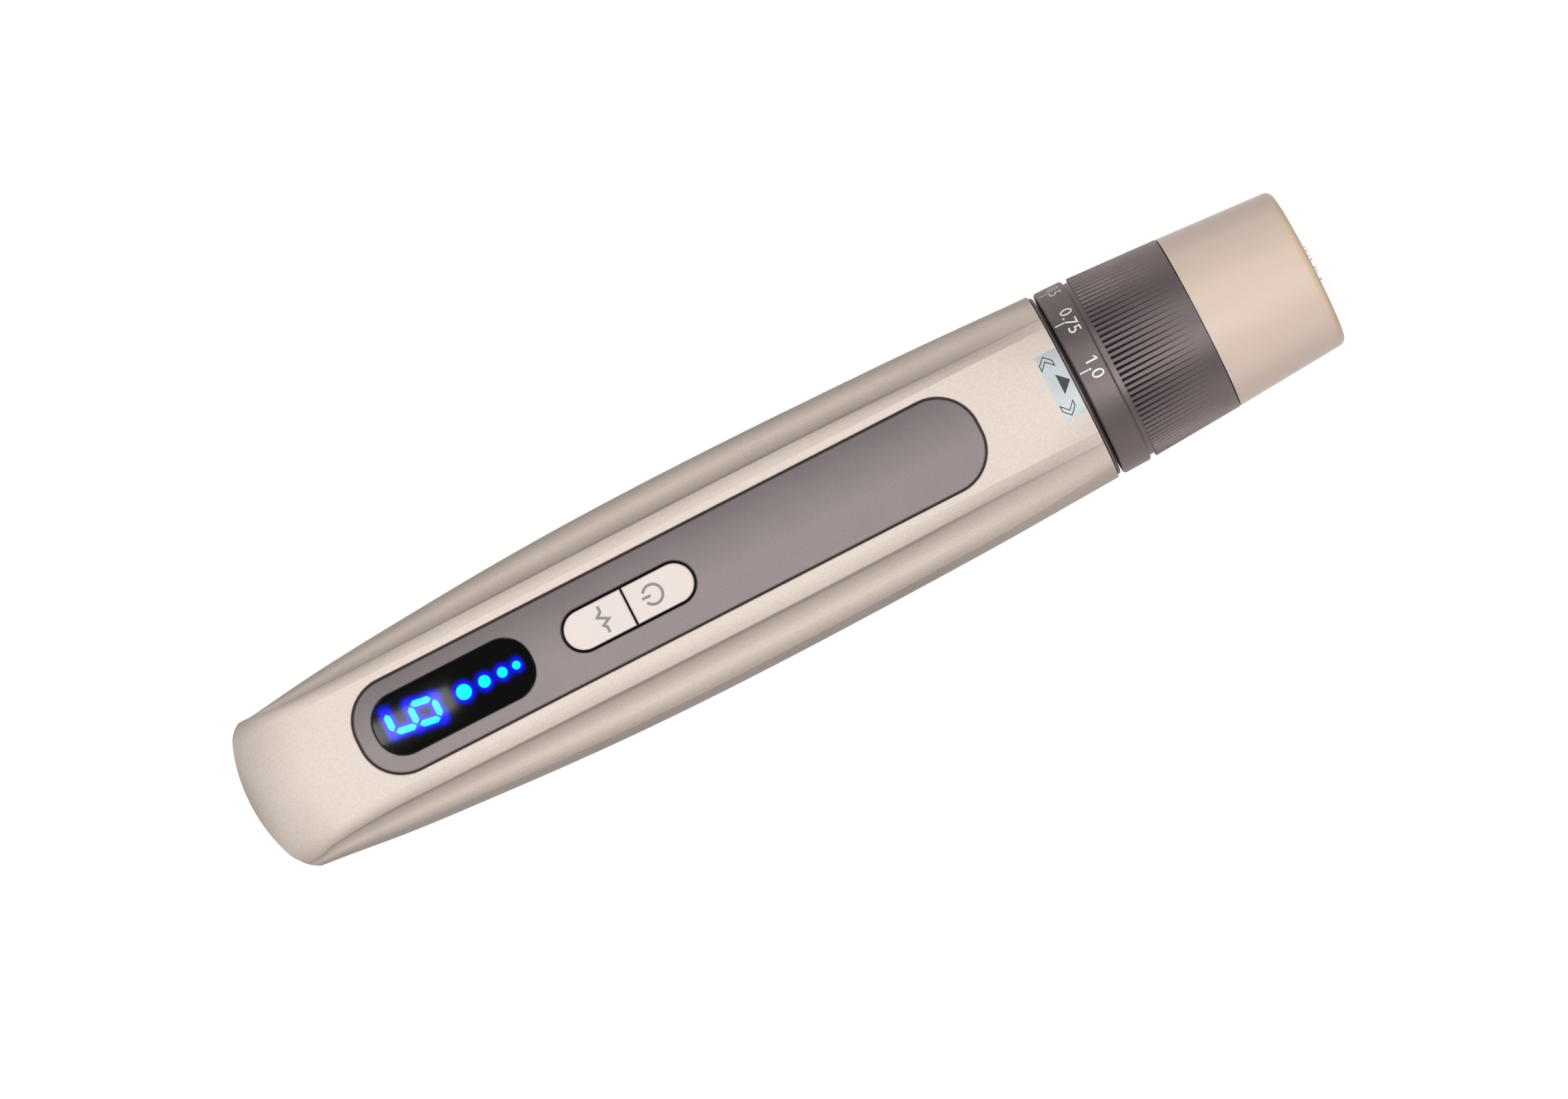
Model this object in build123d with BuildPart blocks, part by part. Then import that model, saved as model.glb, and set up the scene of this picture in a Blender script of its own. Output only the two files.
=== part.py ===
from build123d import *
from math import acos, atan, cos, degrees, hypot, radians, sin, sqrt, tan
import os

# A microneedling pen lying on its belly. The pen's axis runs along X with the needles at +X, the
# control panel faces +Z, and the origin is the middle of the flat strip that it rests on.

# Driving dimensions of the outside, in millimetres
body_length = 134.4
body_width = 32.6
belly_flat = 0.9
face_reach = 95.0
cartridge_length = 18.1
grip_length = 14.1
neck_length = 0.9
scale_ring_length = 4.5
trim_length = 0.6

# Clearances and gaps
overrun = 1.0
running_fit = 0.05
part_gap = 0.3
seam_gap = 0.2
ring_gap = 0.4
snug_gap = 0.1
end_play = 0.1

# Travels
scale_turn = 130.0
depth_travel = 1.0
needle_stroke = 2.0
button_travel = 0.4

# Stations along the axis, worked back from the face that meets the skin
face_x = face_reach
cartridge_rear = face_x - cartridge_length
grip_front = cartridge_rear - seam_gap
grip_rear = grip_front - grip_length
scale_front = grip_rear - neck_length
scale_rear = scale_front - scale_ring_length
trim_front = scale_rear - ring_gap
rim_x = trim_front - trim_length
tail_x = rim_x - body_length
half_width = body_width / 2
axis_height = half_width - belly_flat

# Housing
shell_wall = 1.8
tail_wall = 2.6
tail_corner_reach = 4.6
tail_corner_bow = 0.35
lip_height = 1.2
lip_thickness = 0.8
lip_setback = 1.5
rib_thickness = 1.4
rib_inset = 4.0
rib_below = 1.0
floor_thickness = 1.7

# One row for each cross-section of the housing, as shares: how far along the body, then half
# width, crown height, crown drop, how far the crease lies out and up, belt height, scallop depth
# and shoulder bulge, all as shares of the half width
crown_share = 0.871
section_shares = [
    (-0.0044, 0.718, 0.522, 0.090, 0.696, 0.065, 0.035, -0.005, 0.074),
    (0.0000, 0.720, 0.598, 0.100, 0.697, 0.112, 0.036, -0.005, 0.075),
    (0.0041, 0.722, 0.656, 0.108, 0.697, 0.149, 0.037, -0.005, 0.076),
    (0.0096, 0.725, 0.703, 0.114, 0.698, 0.183, 0.039, -0.005, 0.077),
    (0.0170, 0.729, 0.739, 0.118, 0.699, 0.220, 0.041, -0.004, 0.078),
    (0.0245, 0.733, 0.759, 0.118, 0.700, 0.255, 0.043, -0.004, 0.078),
    (0.0320, 0.737, 0.772, 0.116, 0.700, 0.292, 0.045, -0.004, 0.078),
    (0.065, 0.767, 0.825, 0.070, 0.660, 0.560, 0.100, 0.008, 0.050),
    (0.124, 0.826, crown_share, 0.012, 0.632, 0.725, 0.220, 0.024, 0.026),
    (0.217, 0.890, crown_share, 0.009, 0.630, 0.765, 0.270, 0.028, 0.015),
    (0.350, 0.960, crown_share, 0.009, 0.634, 0.782, 0.290, 0.030, 0.012),
    (0.557, 1.000, crown_share, 0.009, 0.640, 0.787, 0.300, 0.030, 0.012),
    (0.741, 0.982, crown_share, 0.009, 0.634, 0.777, 0.300, 0.028, 0.012),
    (0.880, 0.951, crown_share, 0.012, 0.617, 0.740, 0.310, 0.014, 0.012),
    (0.934, 0.932, 0.887, 0.060, 0.612, 0.708, 0.340, 0.003, 0.008),
    (1.000, 0.908, 0.908, 0.148, 0.612, 0.671, 0.390, -0.017, 0.003),
]
tail_rows = 7
crown_edge_share = 0.52
tail_dome_share = 1.5644
tail_corner_start_share = 0.5767
tail_corner_end_share = 0.7393

# Control panel and what shows through it
panel_rear_share = 0.1369
panel_front_setback = 15.25
panel_margin = 1.465
panel_end_flat = 1.52
panel_sink = 0.15
panel_thickness = 1.35
panel_groove = 0.35
pocket_round = 0.25
panel_edge = 0.15
gasket_height = 0.85
window_length = 25.5
window_margin = 2.28
window_end_flat = 0.86
window_setback = 2.45
lens_sink = 0.05
module_end_inset = 1.45
module_side_inset = 0.83
module_gap = 0.15
module_corner = 0.5
led_radii = [1.16, 0.92, 0.78, 0.63]
led_place_shares = [0.563, 0.694, 0.808, 0.898]
led_height = 0.1
pill_length = 20.6
pill_width = 5.9
pill_groove = 0.42
pill_place_share = 0.076
split_gap = 0.3
cap_rise = 0.12
cap_round = 0.3
stem_radius = 1.2
stem_bore = 1.6
stem_spacing = 9.4
keypad_thickness = 0.4

# Boards, cell and charging socket
board_rear_inset = 0.3
board_front_gap = 1.5
board_margin = 1.02
board_thickness = 1.2
board_hang = 1.7
board_corner = 1.0
board_screw_edge = 1.6
boss_radius = 1.7
screw_radius = 1.0
screw_head_radius = 1.7
screw_head_height = 0.9
screw_bite = 1.5
switch_side = 4.5
switch_height = 1.2
plunger_radius = 1.1
plunger_height = 0.35
cell_step = 1.0
cell_gap = 1.1
cell_setback = 21.7
cell_edge = 0.7
cell_cap_radius = 3.2
cell_cap_height = 0.9
cradle_wall = 0.8
cradle_end = 1.2
socket_width = 8.94
socket_height = 3.26
socket_length = 7.3
socket_wall = 0.3
socket_sink = 0.5
socket_back = 1.0
tongue_width = 6.7
tongue_height = 0.7
port_gap = 0.3
charge_board_length = 12.0
charge_board_margin = 1.27
charge_board_thickness = 1.0

# Drive
motor_length = 24.0
motor_edge = 0.8
end_cap_step = 1.0
end_cap_length = 1.6
terminal_width = 2.4
terminal_thickness = 0.5
terminal_length = 2.0
terminal_out_share = 0.667
terminal_up_share = 0.444
motor_boss_radius = 3.0
end_cap_bore = 1.5
motor_boss_length = 1.5
shaft_radius = 1.0
shaft_bury = 9.0
shaft_short = 0.5
mount_rim = 0.8
mount_thickness = 2.0
mount_screw_inset = 2.5
mount_screw_bite = 3.0
cam_radius = 6.0
cam_back_gap = 1.5
follower_radius = 4.5
cam_body = 4.6
set_screw_radius = 0.8
set_screw_length = 3.6
set_screw_setback = 1.8
cam_gap = 0.35
nub_radius = 1.1
nub_round = 0.6
follower_arm = 1.6
nub_length = 2.0
head_radius = 3.4
head_thickness = 1.5
rod_radius = 2.0
rod_tip_radius = 1.5
rod_spring_radius = 3.1
rod_spring_wire = 0.5
rod_spring_turns = 4
rod_spring_length = 4.4
wire_sides = 8

# Nose
flange_gap = 0.15
flange_length = 3.0
step_depth = 0.45
thrust_width = 1.1
snout_wall = 1.65
skirt_step = 0.5
skirt_wall = 1.4
diaphragm_reach = 0.75
diaphragm_thickness = 3.0
diaphragm_setback = 0.8
bush_radius = 3.4
bush_flange_radius = 4.8
bush_flange = 1.0
seal_radius = 4.2
seal_thickness = 1.1
snout_end_gap = 1.2
o_ring_wire = 1.0
clip_stand = 0.55
clip_room = 0.15
clip_thickness = 0.8
clip_opening = 12.0
clip_bite = 0.6
clip_setback = 0.4
trim_inset = 0.4
trim_edge = 0.2

# Depth dial and carriage
dial_stand = 0.3
dial_taper = 0.08
dial_edge = 0.25
neck_depth = 0.7
dial_hub_depth = 1.7
grip_step = 0.2
grip_taper = 0.8
rib_count = 100
rib_run_share = 0.885
groove_depth = 0.42
groove_angle = 62.0
guide_pin_radius = 0.9
guide_pin_setback = 12.4
track_depth = 0.85
carriage_wall = 1.4
cup_step = 0.25
cup_wall = 1.75
cup_web = 1.6
cup_front_setback = 4.9
cup_ring_setback = 2.4

# Cartridge
cartridge_step = 0.05
cartridge_taper = 1.23
cartridge_front_round = 1.25
front_lip = 1.6
front_rim = 1.67
face_plate_flange = 1.6
aperture_radius = 4.3
guide_wall = 1.25
guide_web = 1.4
guide_length = 7.3
electrode_inner_share = 0.2326
electrode_outer_share = 0.8217
electrode_gap = 2.6
electrode_thickness = 0.5
electrode_proud = 0.05
hub_radius = 3.7
hub_sink = 1.2
hub_flange_radius = 5.4
hub_flange = 1.2
hub_socket_depth = 3.0
hub_spring_radius = 4.45
hub_spring_wire = 0.45
hub_spring_turns = 4
hub_spring_length = 4.4
needle_radius = 0.16
needle_tip_length = 0.9
needle_tip_radius = 0.03
needle_bury = 2.0
outer_pin_circle = 2.7
outer_pins = 9
inner_pin_circle = 1.3
inner_pins = 3

pen_axis = Axis((0, 0, axis_height), (1, 0, 0))
side_plane = Plane(origin=(0, 0, axis_height), x_dir=(1, 0, 0), z_dir=(0, -1, 0))


def station(x, up=0):
    """The plane across the pen at x, with Y to its right and Z up, centred up above the axis."""
    return Plane(origin=(x, 0, axis_height + up), x_dir=(0, 1, 0), z_dir=(1, 0, 0))


def level(up):
    """The level plane at this height above the pen's axis."""
    return Plane.XY.offset(axis_height + up)


def turn(points):
    """Revolves the closed outline through (x, radius) points about the pen's axis."""
    with BuildSketch(side_plane) as profile:
        with BuildLine():
            Polyline(*points, close=True)
        make_face()
    revolve(profile.sketch, axis=pen_axis)


def tube(start, end, outer, inner):
    """Adds a plain ring from start to end along the pen's axis."""
    with BuildSketch(station(start)) as ring:
        Circle(outer)
        Circle(inner, mode=Mode.SUBTRACT)
    extrude(ring.sketch, amount=end - start)


def bore(start, end, radius):
    """Cuts a round hole from start to end along the pen's axis."""
    with BuildSketch(station(start)) as hole:
        Circle(radius)
    extrude(hole.sketch, amount=end - start, mode=Mode.SUBTRACT)


def finish(piece, name):
    """Labels a finished piece and writes its file."""
    piece.part.label = name
    export_step(piece.part, f"parts/{name}.step")


os.makedirs("parts", exist_ok=True)

# Places that several pieces share
crown_top = crown_share * half_width
panel_top = crown_top - panel_sink
pocket_floor = panel_top - panel_thickness
ceiling_height = pocket_floor - floor_thickness
panel_front = rim_x - panel_front_setback
panel_rear = tail_x + panel_rear_share * body_length
panel_length = panel_front - panel_rear
panel_middle = (panel_front + panel_rear) / 2
panel_width = 2 * (crown_edge_share * half_width - panel_margin)
panel_corner = (panel_width - panel_end_flat) / 2
window_width = panel_width - 2 * window_margin
window_corner = (window_width - window_end_flat) / 2
module_length = window_length - 2 * module_end_inset
module_width = window_width - 2 * module_side_inset
window_rear = panel_rear + window_setback
window_front = window_rear + window_length
window_middle = (window_rear + window_front) / 2
pill_middle = window_front + pill_place_share * (panel_front - window_front) + pill_length / 2
board_top = ceiling_height - board_hang
board_bottom = board_top - board_thickness
board_width = panel_width - board_margin

# Radii of the nose, worked inwards from the housing's rim
rim_radius = section_shares[-1][1] * half_width
trim_radius = rim_radius - trim_inset
dial_rear_radius = trim_radius + dial_stand
dial_front_radius = dial_rear_radius - dial_taper
neck_radius = dial_rear_radius - neck_depth
dial_hub_radius = dial_rear_radius - dial_hub_depth
grip_rear_radius = dial_rear_radius - grip_step
grip_front_radius = grip_rear_radius - grip_taper
flange_radius = rim_radius - shell_wall - flange_gap
step_radius = flange_radius - step_depth
snout_radius = step_radius - thrust_width
snout_bore = snout_radius - snout_wall
skirt_radius = snout_radius - skirt_step
skirt_bore = skirt_radius - skirt_wall
clip_radius = snout_radius + clip_stand
clip_pocket_radius = clip_radius + clip_room
dial_bore = snout_radius + running_fit
carriage_radius = snout_bore - running_fit
carriage_bore = carriage_radius - carriage_wall
cup_radius = snout_radius - cup_step
cup_bore = cup_radius - cup_wall
cartridge_rear_radius = grip_front_radius - cartridge_step
cartridge_front_radius = cartridge_rear_radius - cartridge_taper
cartridge_bore = cup_radius + snug_gap
front_opening_radius = cartridge_front_radius - front_rim
face_width = front_opening_radius - aperture_radius
electrode_inner = aperture_radius + electrode_inner_share * face_width
electrode_outer = aperture_radius + electrode_outer_share * face_width
motor_radius = skirt_radius - mount_rim
mount_screw_circle = motor_radius - mount_screw_inset
end_cap_radius = motor_radius - end_cap_step
cell_radius = motor_radius - cell_step
cell_drop = cell_radius - (board_bottom - cell_gap)

# The drive, worked back from the housing's rim
diaphragm_rear = rim_x + diaphragm_reach
diaphragm_front = diaphragm_rear + diaphragm_thickness
seal_front = diaphragm_front + seal_thickness
bush_rear = diaphragm_rear - bush_flange
head_front = bush_rear - rod_spring_length
head_rear = head_front - head_thickness
nub_tip = head_rear - nub_length
cam_middle = nub_tip - needle_stroke / 2 - needle_stroke - cam_gap
cam_rear = cam_middle - cam_body
cam_slope = needle_stroke / (2 * follower_radius)
mount_front = cam_rear - cam_back_gap
can_front = mount_front - mount_thickness
can_rear = can_front - motor_length
end_cap_rear = can_rear - end_cap_length

# The cell fills the room between the charging board and the motor's terminals
cell_rear = tail_x + cell_setback
cell_front = end_cap_rear - terminal_length - cell_cap_height - snug_gap
cell_length = cell_front - cell_rear
charge_board_top = -socket_height / 2
socket_front = tail_x + socket_sink

snout_front = grip_front - snout_end_gap
clip_front = snout_front - clip_setback
clip_rear = clip_front - clip_thickness
o_ring_x = diaphragm_front - diaphragm_setback
guide_pin_x = grip_front - guide_pin_setback
carriage_rear = seal_front + end_play
web_rear = snout_front + part_gap
cup_rear = web_rear + cup_web
cup_front = face_x - cup_front_setback

plate_rear = face_x - front_lip - face_plate_flange
web_front = plate_rear
guide_rear = web_front - guide_length
hub_front = face_x - hub_sink
hub_flange_front = guide_rear - hub_spring_length
hub_rear = hub_flange_front - hub_flange
rod_tip = hub_rear + hub_socket_depth - end_play
rod_shoulder = hub_rear - snug_gap


def half_width_at(x):
    """The housing's half width at this station, on straight lines between the rows."""
    share = (x - tail_x) / body_length
    for before, after in zip(section_shares, section_shares[1:]):
        if before[0] <= share <= after[0]:
            part_way = (share - before[0]) / (after[0] - before[0])
            return (before[1] + part_way * (after[1] - before[1])) * half_width
    return section_shares[-1][1] * half_width


def inner_radius(x):
    """The radius of the hollow inside the housing at this station."""
    return half_width_at(x) - shell_wall


def bowed(start, end, rise):
    """An arc from start to end whose middle stands off the straight line by rise."""
    run_x = end[0] - start[0]
    run_y = end[1] - start[1]
    length = hypot(run_x, run_y)
    middle_x = (start[0] + end[0]) / 2 + rise * run_y / length
    middle_y = (start[1] + end[1]) / 2 - rise * run_x / length
    ThreePointArc(start, (middle_x, middle_y), end)


def upper_section(row):
    """One cross-section of the upper half: crown, shoulders, scallops and belt."""
    _, width, crown, drop, crease_out, crease_up, belt_up, scallop, bulge = row
    side = (width * half_width, 0)
    belt_angle = degrees(acos(sqrt(1 - (belt_up / width) ** 2)))
    belt = (side[0] * cos(radians(belt_angle)), side[0] * sin(radians(belt_angle)))
    bend = (side[0] * cos(radians(belt_angle / 2)), side[0] * sin(radians(belt_angle / 2)))
    crease = (crease_out * half_width, crease_up * half_width)
    edge = (crown_edge_share * half_width, (crown - drop) * half_width)
    with BuildLine() as outline:
        ThreePointArc(side, bend, belt)
        bowed(belt, crease, -scallop * half_width)
        bowed(crease, edge, bulge * half_width)
        ThreePointArc(edge, (0, crown * half_width), (-edge[0], edge[1]))
        bowed((-edge[0], edge[1]), (-crease[0], crease[1]), bulge * half_width)
        bowed((-crease[0], crease[1]), (-belt[0], belt[1]), -scallop * half_width)
        ThreePointArc((-belt[0], belt[1]), (-bend[0], bend[1]), (-side[0], 0))
        Line((-side[0], 0), side)
    make_face(outline.edges())


tail_dome_radius = tail_dome_share * half_width
tail_corner_start = tail_corner_start_share * half_width
tail_corner_end = tail_corner_end_share * half_width


def dome_reach(radius):
    """Where the tail's dome lies along the pen at this distance from the axis."""
    return tail_x + tail_dome_radius - sqrt(tail_dome_radius**2 - radius**2)


def tail_corner():
    """Draws the tail's dome and its rounded corner, out from the axis."""
    middle = tail_corner_start / 2
    corner = (dome_reach(tail_corner_start), tail_corner_start)
    ThreePointArc((tail_x, 0), (dome_reach(middle), middle), corner)
    bowed(corner, (tail_x + tail_corner_reach, tail_corner_end), -tail_corner_bow)


def tail_wall_tool():
    """Trims the tail to its upright wall, by keeping what lies ahead of it."""
    corner_end = (tail_x + tail_corner_reach, tail_corner_end)
    clear = (dome_reach(half_width) + half_width, body_width)
    with BuildSketch(level(-overrun)) as half_plan:
        with BuildLine():
            tail_corner()
            Polyline(corner_end, clear, (rim_x, body_width), (rim_x, 0), (tail_x, 0))
        make_face()
        mirror(about=Plane.XZ)
    extrude(half_plan.sketch, amount=body_width, mode=Mode.INTERSECT)


hollow_rear = tail_x + tail_wall
hollow_points = [(hollow_rear, 0), (hollow_rear, inner_radius(hollow_rear) - shell_wall)]
for row in section_shares[tail_rows:]:
    place = tail_x + row[0] * body_length
    hollow_points.append((place, inner_radius(place)))
hollow_points.pop()
hollow_points.append((rim_x + overrun, inner_radius(rim_x)))
hollow_points.append((rim_x + overrun, 0))

with BuildPart() as hollow:
    turn(hollow_points)

floor_front = panel_front + panel_groove + tail_wall
with BuildPart() as upper_hollow:
    add(hollow.part)
    with BuildSketch(level(ceiling_height)):
        with Locations(((hollow_rear + floor_front) / 2, 0)):
            Rectangle(floor_front - hollow_rear, body_width)
    extrude(amount=half_width, mode=Mode.SUBTRACT)


def port_cut():
    """Cuts the mouth for the charging socket through the tail."""
    with BuildSketch(station(tail_x - overrun)) as mouth:
        width = socket_width + 2 * port_gap
        height = socket_height + 2 * port_gap
        SlotOverall(width, height)
    extrude(mouth.sketch, amount=tail_wall + 2 * overrun, mode=Mode.SUBTRACT)


def lip_ring(clearance):
    """The band inside the wall, around the parting level, as a face on that level."""
    front = (rim_x - lip_setback, inner_radius(rim_x - lip_setback))
    inner = hollow_points[1:-2] + [front]
    outer = [(x, r + lip_thickness - clearance) for x, r in inner]
    for side in (1, -1):
        with BuildLine() as band:
            Polyline(*[(x, side * r) for x, r in outer + inner[::-1]], close=True)
        make_face(band.edges())


def seat_rib(x, radius, top, drop=0):
    """Adds a rib across the lower shell, hollowed to seat a round piece, up to the level top."""
    reach = inner_radius(x) + shell_wall / 2
    with BuildSketch(station(x)) as rib:
        Circle(reach)
        with Locations((0, top + reach)):
            Rectangle(2 * reach, 2 * reach, mode=Mode.SUBTRACT)
        if radius:
            with Locations((0, -drop)):
                Circle(radius, mode=Mode.SUBTRACT)
    extrude(rib.sketch, amount=rib_thickness)


board_rear = panel_rear + board_rear_inset
board_front = end_cap_rear - board_front_gap
board_length = board_front - board_rear
board_middle = (board_rear + board_front) / 2
board_screws_x = [board_rear + board_screw_edge, board_front - board_screw_edge]
board_screws_y = board_width / 2 - board_screw_edge
board_screw_places = [(x, y) for x in board_screws_x for y in (-board_screws_y, board_screws_y)]
stem_places = [(pill_middle - stem_spacing / 2, 0), (pill_middle + stem_spacing / 2, 0)]
cradle_radius = cell_radius + running_fit + cradle_wall
cradle_rear = cell_rear - snug_gap - cradle_end
cradle_front = cell_front + cell_cap_height + snug_gap + cradle_end
cradle_ribs_x = [
    cradle_rear + rib_inset,
    (cradle_rear + cradle_front - rib_thickness) / 2,
    cradle_front - rib_inset - rib_thickness,
]
motor_ribs_x = [can_rear + rib_inset, can_front - rib_inset - rib_thickness]
charge_board_width = 2 * (inner_radius(hollow_rear) - shell_wall - charge_board_margin)
charge_board_rear = hollow_rear + snug_gap
charge_board_front = charge_board_rear + charge_board_length
board_ribs_x = [charge_board_rear + rib_thickness, charge_board_front - 2 * rib_thickness]

# The two shells meet on the level through the axis, with a lip inside the joint
with BuildPart() as upper_shell:
    for row in section_shares:
        with BuildSketch(station(tail_x + row[0] * body_length)):
            upper_section(row)
    loft()
    tail_wall_tool()
    add(upper_hollow.part, mode=Mode.SUBTRACT)
    with BuildSketch(level(-lip_height)):
        lip_ring(running_fit)
    extrude(amount=lip_height)
    port_cut()
    with BuildSketch(level(pocket_floor)):
        with Locations((panel_middle, 0)):
            RectangleRounded(
                panel_length + 2 * panel_groove,
                panel_width + 2 * panel_groove,
                panel_corner + panel_groove,
            )
    extrude(amount=half_width, mode=Mode.SUBTRACT)
    pocket_edges = upper_shell.edges(Select.LAST)
    rims = [e for e in pocket_edges if e.center().Z > axis_height + pocket_floor + lens_sink]
    fillet([e for e in rims if e.bounding_box().size.Z < panel_thickness], pocket_round)
    with BuildSketch(level(pocket_floor)):
        with Locations((window_middle, 0)):
            Rectangle(module_length + 2 * module_gap, module_width + 2 * module_gap)
        with Locations(*stem_places):
            Circle(stem_bore)
    extrude(amount=-(pocket_floor - ceiling_height) - overrun, mode=Mode.SUBTRACT)
    with BuildSketch(level(board_top)):
        with Locations(*board_screw_places):
            Circle(boss_radius)
    extrude(amount=ceiling_height - board_top)
    with BuildSketch(level(board_top)):
        with Locations(*board_screw_places):
            Circle(screw_radius)
    extrude(amount=screw_bite, mode=Mode.SUBTRACT)
finish(upper_shell, "upper_shell")

belt_points = []
for row in section_shares[tail_rows:]:
    belt_points.append((tail_x + row[0] * body_length, row[1] * half_width))
with BuildPart() as lower_shell:
    with BuildSketch(level(0)):
        with BuildLine():
            tail_corner()
            Spline((tail_x + tail_corner_reach, tail_corner_end), *belt_points)
            Polyline(belt_points[-1], (rim_x, 0), (tail_x, 0))
        make_face()
    revolve(axis=pen_axis, revolution_arc=-180)
    split(bisect_by=Plane.XY, keep=Keep.TOP)
    add(hollow.part, mode=Mode.SUBTRACT)
    with BuildSketch(level(-lip_height - snug_gap)):
        lip_ring(0)
    extrude(amount=lip_height + snug_gap, mode=Mode.SUBTRACT)
    port_cut()
    for x in cradle_ribs_x:
        seat_rib(x, cradle_radius, -cell_drop - rib_below, cell_drop)
    for x in motor_ribs_x:
        seat_rib(x, motor_radius, -lip_height - part_gap)
    for x in board_ribs_x:
        seat_rib(x, 0, charge_board_top - charge_board_thickness)
finish(lower_shell, "lower_shell")

# The inlaid panel, the seal in the groove round it, and the display behind its lens
with BuildPart() as control_panel:
    with BuildSketch(level(pocket_floor)):
        with Locations((panel_middle, 0)):
            RectangleRounded(panel_length, panel_width, panel_corner)
        with Locations((window_middle, 0)):
            RectangleRounded(window_length, window_width, window_corner, mode=Mode.SUBTRACT)
        with Locations((pill_middle, 0)):
            SlotOverall(pill_length + 2 * pill_groove, pill_width + 2 * pill_groove, mode=Mode.SUBTRACT)
    extrude(amount=panel_thickness)
    chamfer(control_panel.edges().group_by(Axis.Z)[-1], panel_edge)
finish(control_panel, "control_panel")

with BuildPart() as panel_gasket:
    with BuildSketch(level(pocket_floor)):
        with Locations((panel_middle, 0)):
            RectangleRounded(
                panel_length + 2 * panel_groove,
                panel_width + 2 * panel_groove,
                panel_corner + panel_groove,
            )
            RectangleRounded(panel_length, panel_width, panel_corner, mode=Mode.SUBTRACT)
    extrude(amount=gasket_height)
finish(panel_gasket, "panel_gasket")

with BuildPart() as display_lens:
    with BuildSketch(level(pocket_floor)):
        with Locations((window_middle, 0)):
            RectangleRounded(
                window_length - 2 * running_fit,
                window_width - 2 * running_fit,
                window_corner - running_fit,
            )
    extrude(amount=panel_thickness - lens_sink)
    chamfer(display_lens.edges().group_by(Axis.Z)[-1], panel_edge)
finish(display_lens, "display_lens")

module_top = pocket_floor - led_height - running_fit
with BuildPart() as display_module:
    with BuildSketch(level(board_top)):
        with Locations((window_middle, 0)):
            Rectangle(module_length, module_width)
    extrude(amount=module_top - board_top)
    chamfer(display_module.edges().filter_by(Axis.Z), module_corner)
finish(display_module, "display_module")

with BuildPart() as indicator_leds:
    for share, radius in zip(led_place_shares, led_radii):
        with BuildSketch(level(module_top)):
            with Locations((window_rear + share * window_length, 0)):
                Circle(radius)
        extrude(amount=led_height)
finish(indicator_leds, "indicator_leds")

# The pill of two keys, each pressing its own switch through the keypad
plunger_top = board_top + switch_height + plunger_height
stem_bottom = plunger_top + button_travel + running_fit
keypad_top = pocket_floor + keypad_thickness
cap_bottom = keypad_top + button_travel + running_fit
cap_top = panel_top + cap_rise
keypad_overlap = pill_groove - running_fit


def key(side):
    """Builds the half of the pill on one side of the split, 1 towards the needles."""
    with BuildPart() as half_pill:
        with BuildSketch(level(cap_bottom)):
            with Locations((pill_middle, 0)):
                SlotOverall(pill_length, pill_width)
            with Locations((pill_middle - side * (pill_length - split_gap / 2), 0)):
                Rectangle(2 * pill_length, 2 * pill_width, mode=Mode.SUBTRACT)
        extrude(amount=cap_top - cap_bottom)
        fillet(half_pill.edges().group_by(Axis.Z)[-1], cap_round)
        with BuildSketch(level(stem_bottom)):
            with Locations((pill_middle + side * stem_spacing / 2, 0)):
                Circle(stem_radius)
        extrude(amount=cap_bottom - stem_bottom)
    return half_pill


power_button = key(1)
finish(power_button, "power_button")
mode_button = key(-1)
finish(mode_button, "mode_button")

with BuildPart() as button_keypad:
    with BuildSketch(level(pocket_floor)):
        with Locations((pill_middle, 0)):
            SlotOverall(pill_length + 2 * keypad_overlap, pill_width + 2 * keypad_overlap)
        with Locations(*stem_places):
            Circle(stem_bore, mode=Mode.SUBTRACT)
    extrude(amount=keypad_thickness)
finish(button_keypad, "button_keypad")

with BuildPart() as tact_switches:
    with BuildSketch(level(board_top)):
        with Locations(*stem_places):
            Rectangle(switch_side, switch_side)
    extrude(amount=switch_height)
    with BuildSketch(level(board_top + switch_height)):
        with Locations(*stem_places):
            Circle(plunger_radius)
    extrude(amount=plunger_height)
finish(tact_switches, "tact_switches")

# The main board hangs from the upper shell's bosses
with BuildPart() as main_board:
    with BuildSketch(level(board_bottom)):
        with Locations((board_middle, 0)):
            RectangleRounded(board_length, board_width, board_corner)
        with Locations(*board_screw_places):
            Circle(screw_radius + snug_gap, mode=Mode.SUBTRACT)
    extrude(amount=board_thickness)
finish(main_board, "main_board")

with BuildPart() as board_screws:
    with BuildSketch(level(board_bottom - screw_head_height)):
        with Locations(*board_screw_places):
            Circle(screw_head_radius)
    extrude(amount=screw_head_height)
    with BuildSketch(level(board_bottom)):
        with Locations(*board_screw_places):
            Circle(screw_radius)
    extrude(amount=board_thickness + screw_bite)
finish(board_screws, "board_screws")

# The cell lies in its cradle below the board
with BuildPart() as battery_cell:
    with BuildSketch(station(cell_rear, -cell_drop)):
        Circle(cell_radius)
    extrude(amount=cell_length)
    fillet(battery_cell.edges().filter_by(GeomType.CIRCLE), cell_edge)
    with BuildSketch(station(cell_front, -cell_drop)):
        Circle(cell_cap_radius)
    extrude(amount=cell_cap_height)
finish(battery_cell, "battery_cell")

with BuildPart() as battery_cradle:
    with BuildSketch(station(cradle_rear, -cell_drop)):
        Circle(cradle_radius)
    extrude(amount=cradle_front - cradle_rear)
    with BuildSketch(station(cell_rear - snug_gap, -cell_drop)):
        Circle(cell_radius + running_fit)
    extrude(amount=cradle_front - cradle_end - cell_rear + snug_gap, mode=Mode.SUBTRACT)
    split(bisect_by=level(-cell_drop), keep=Keep.BOTTOM)
finish(battery_cradle, "battery_cradle")

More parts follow.
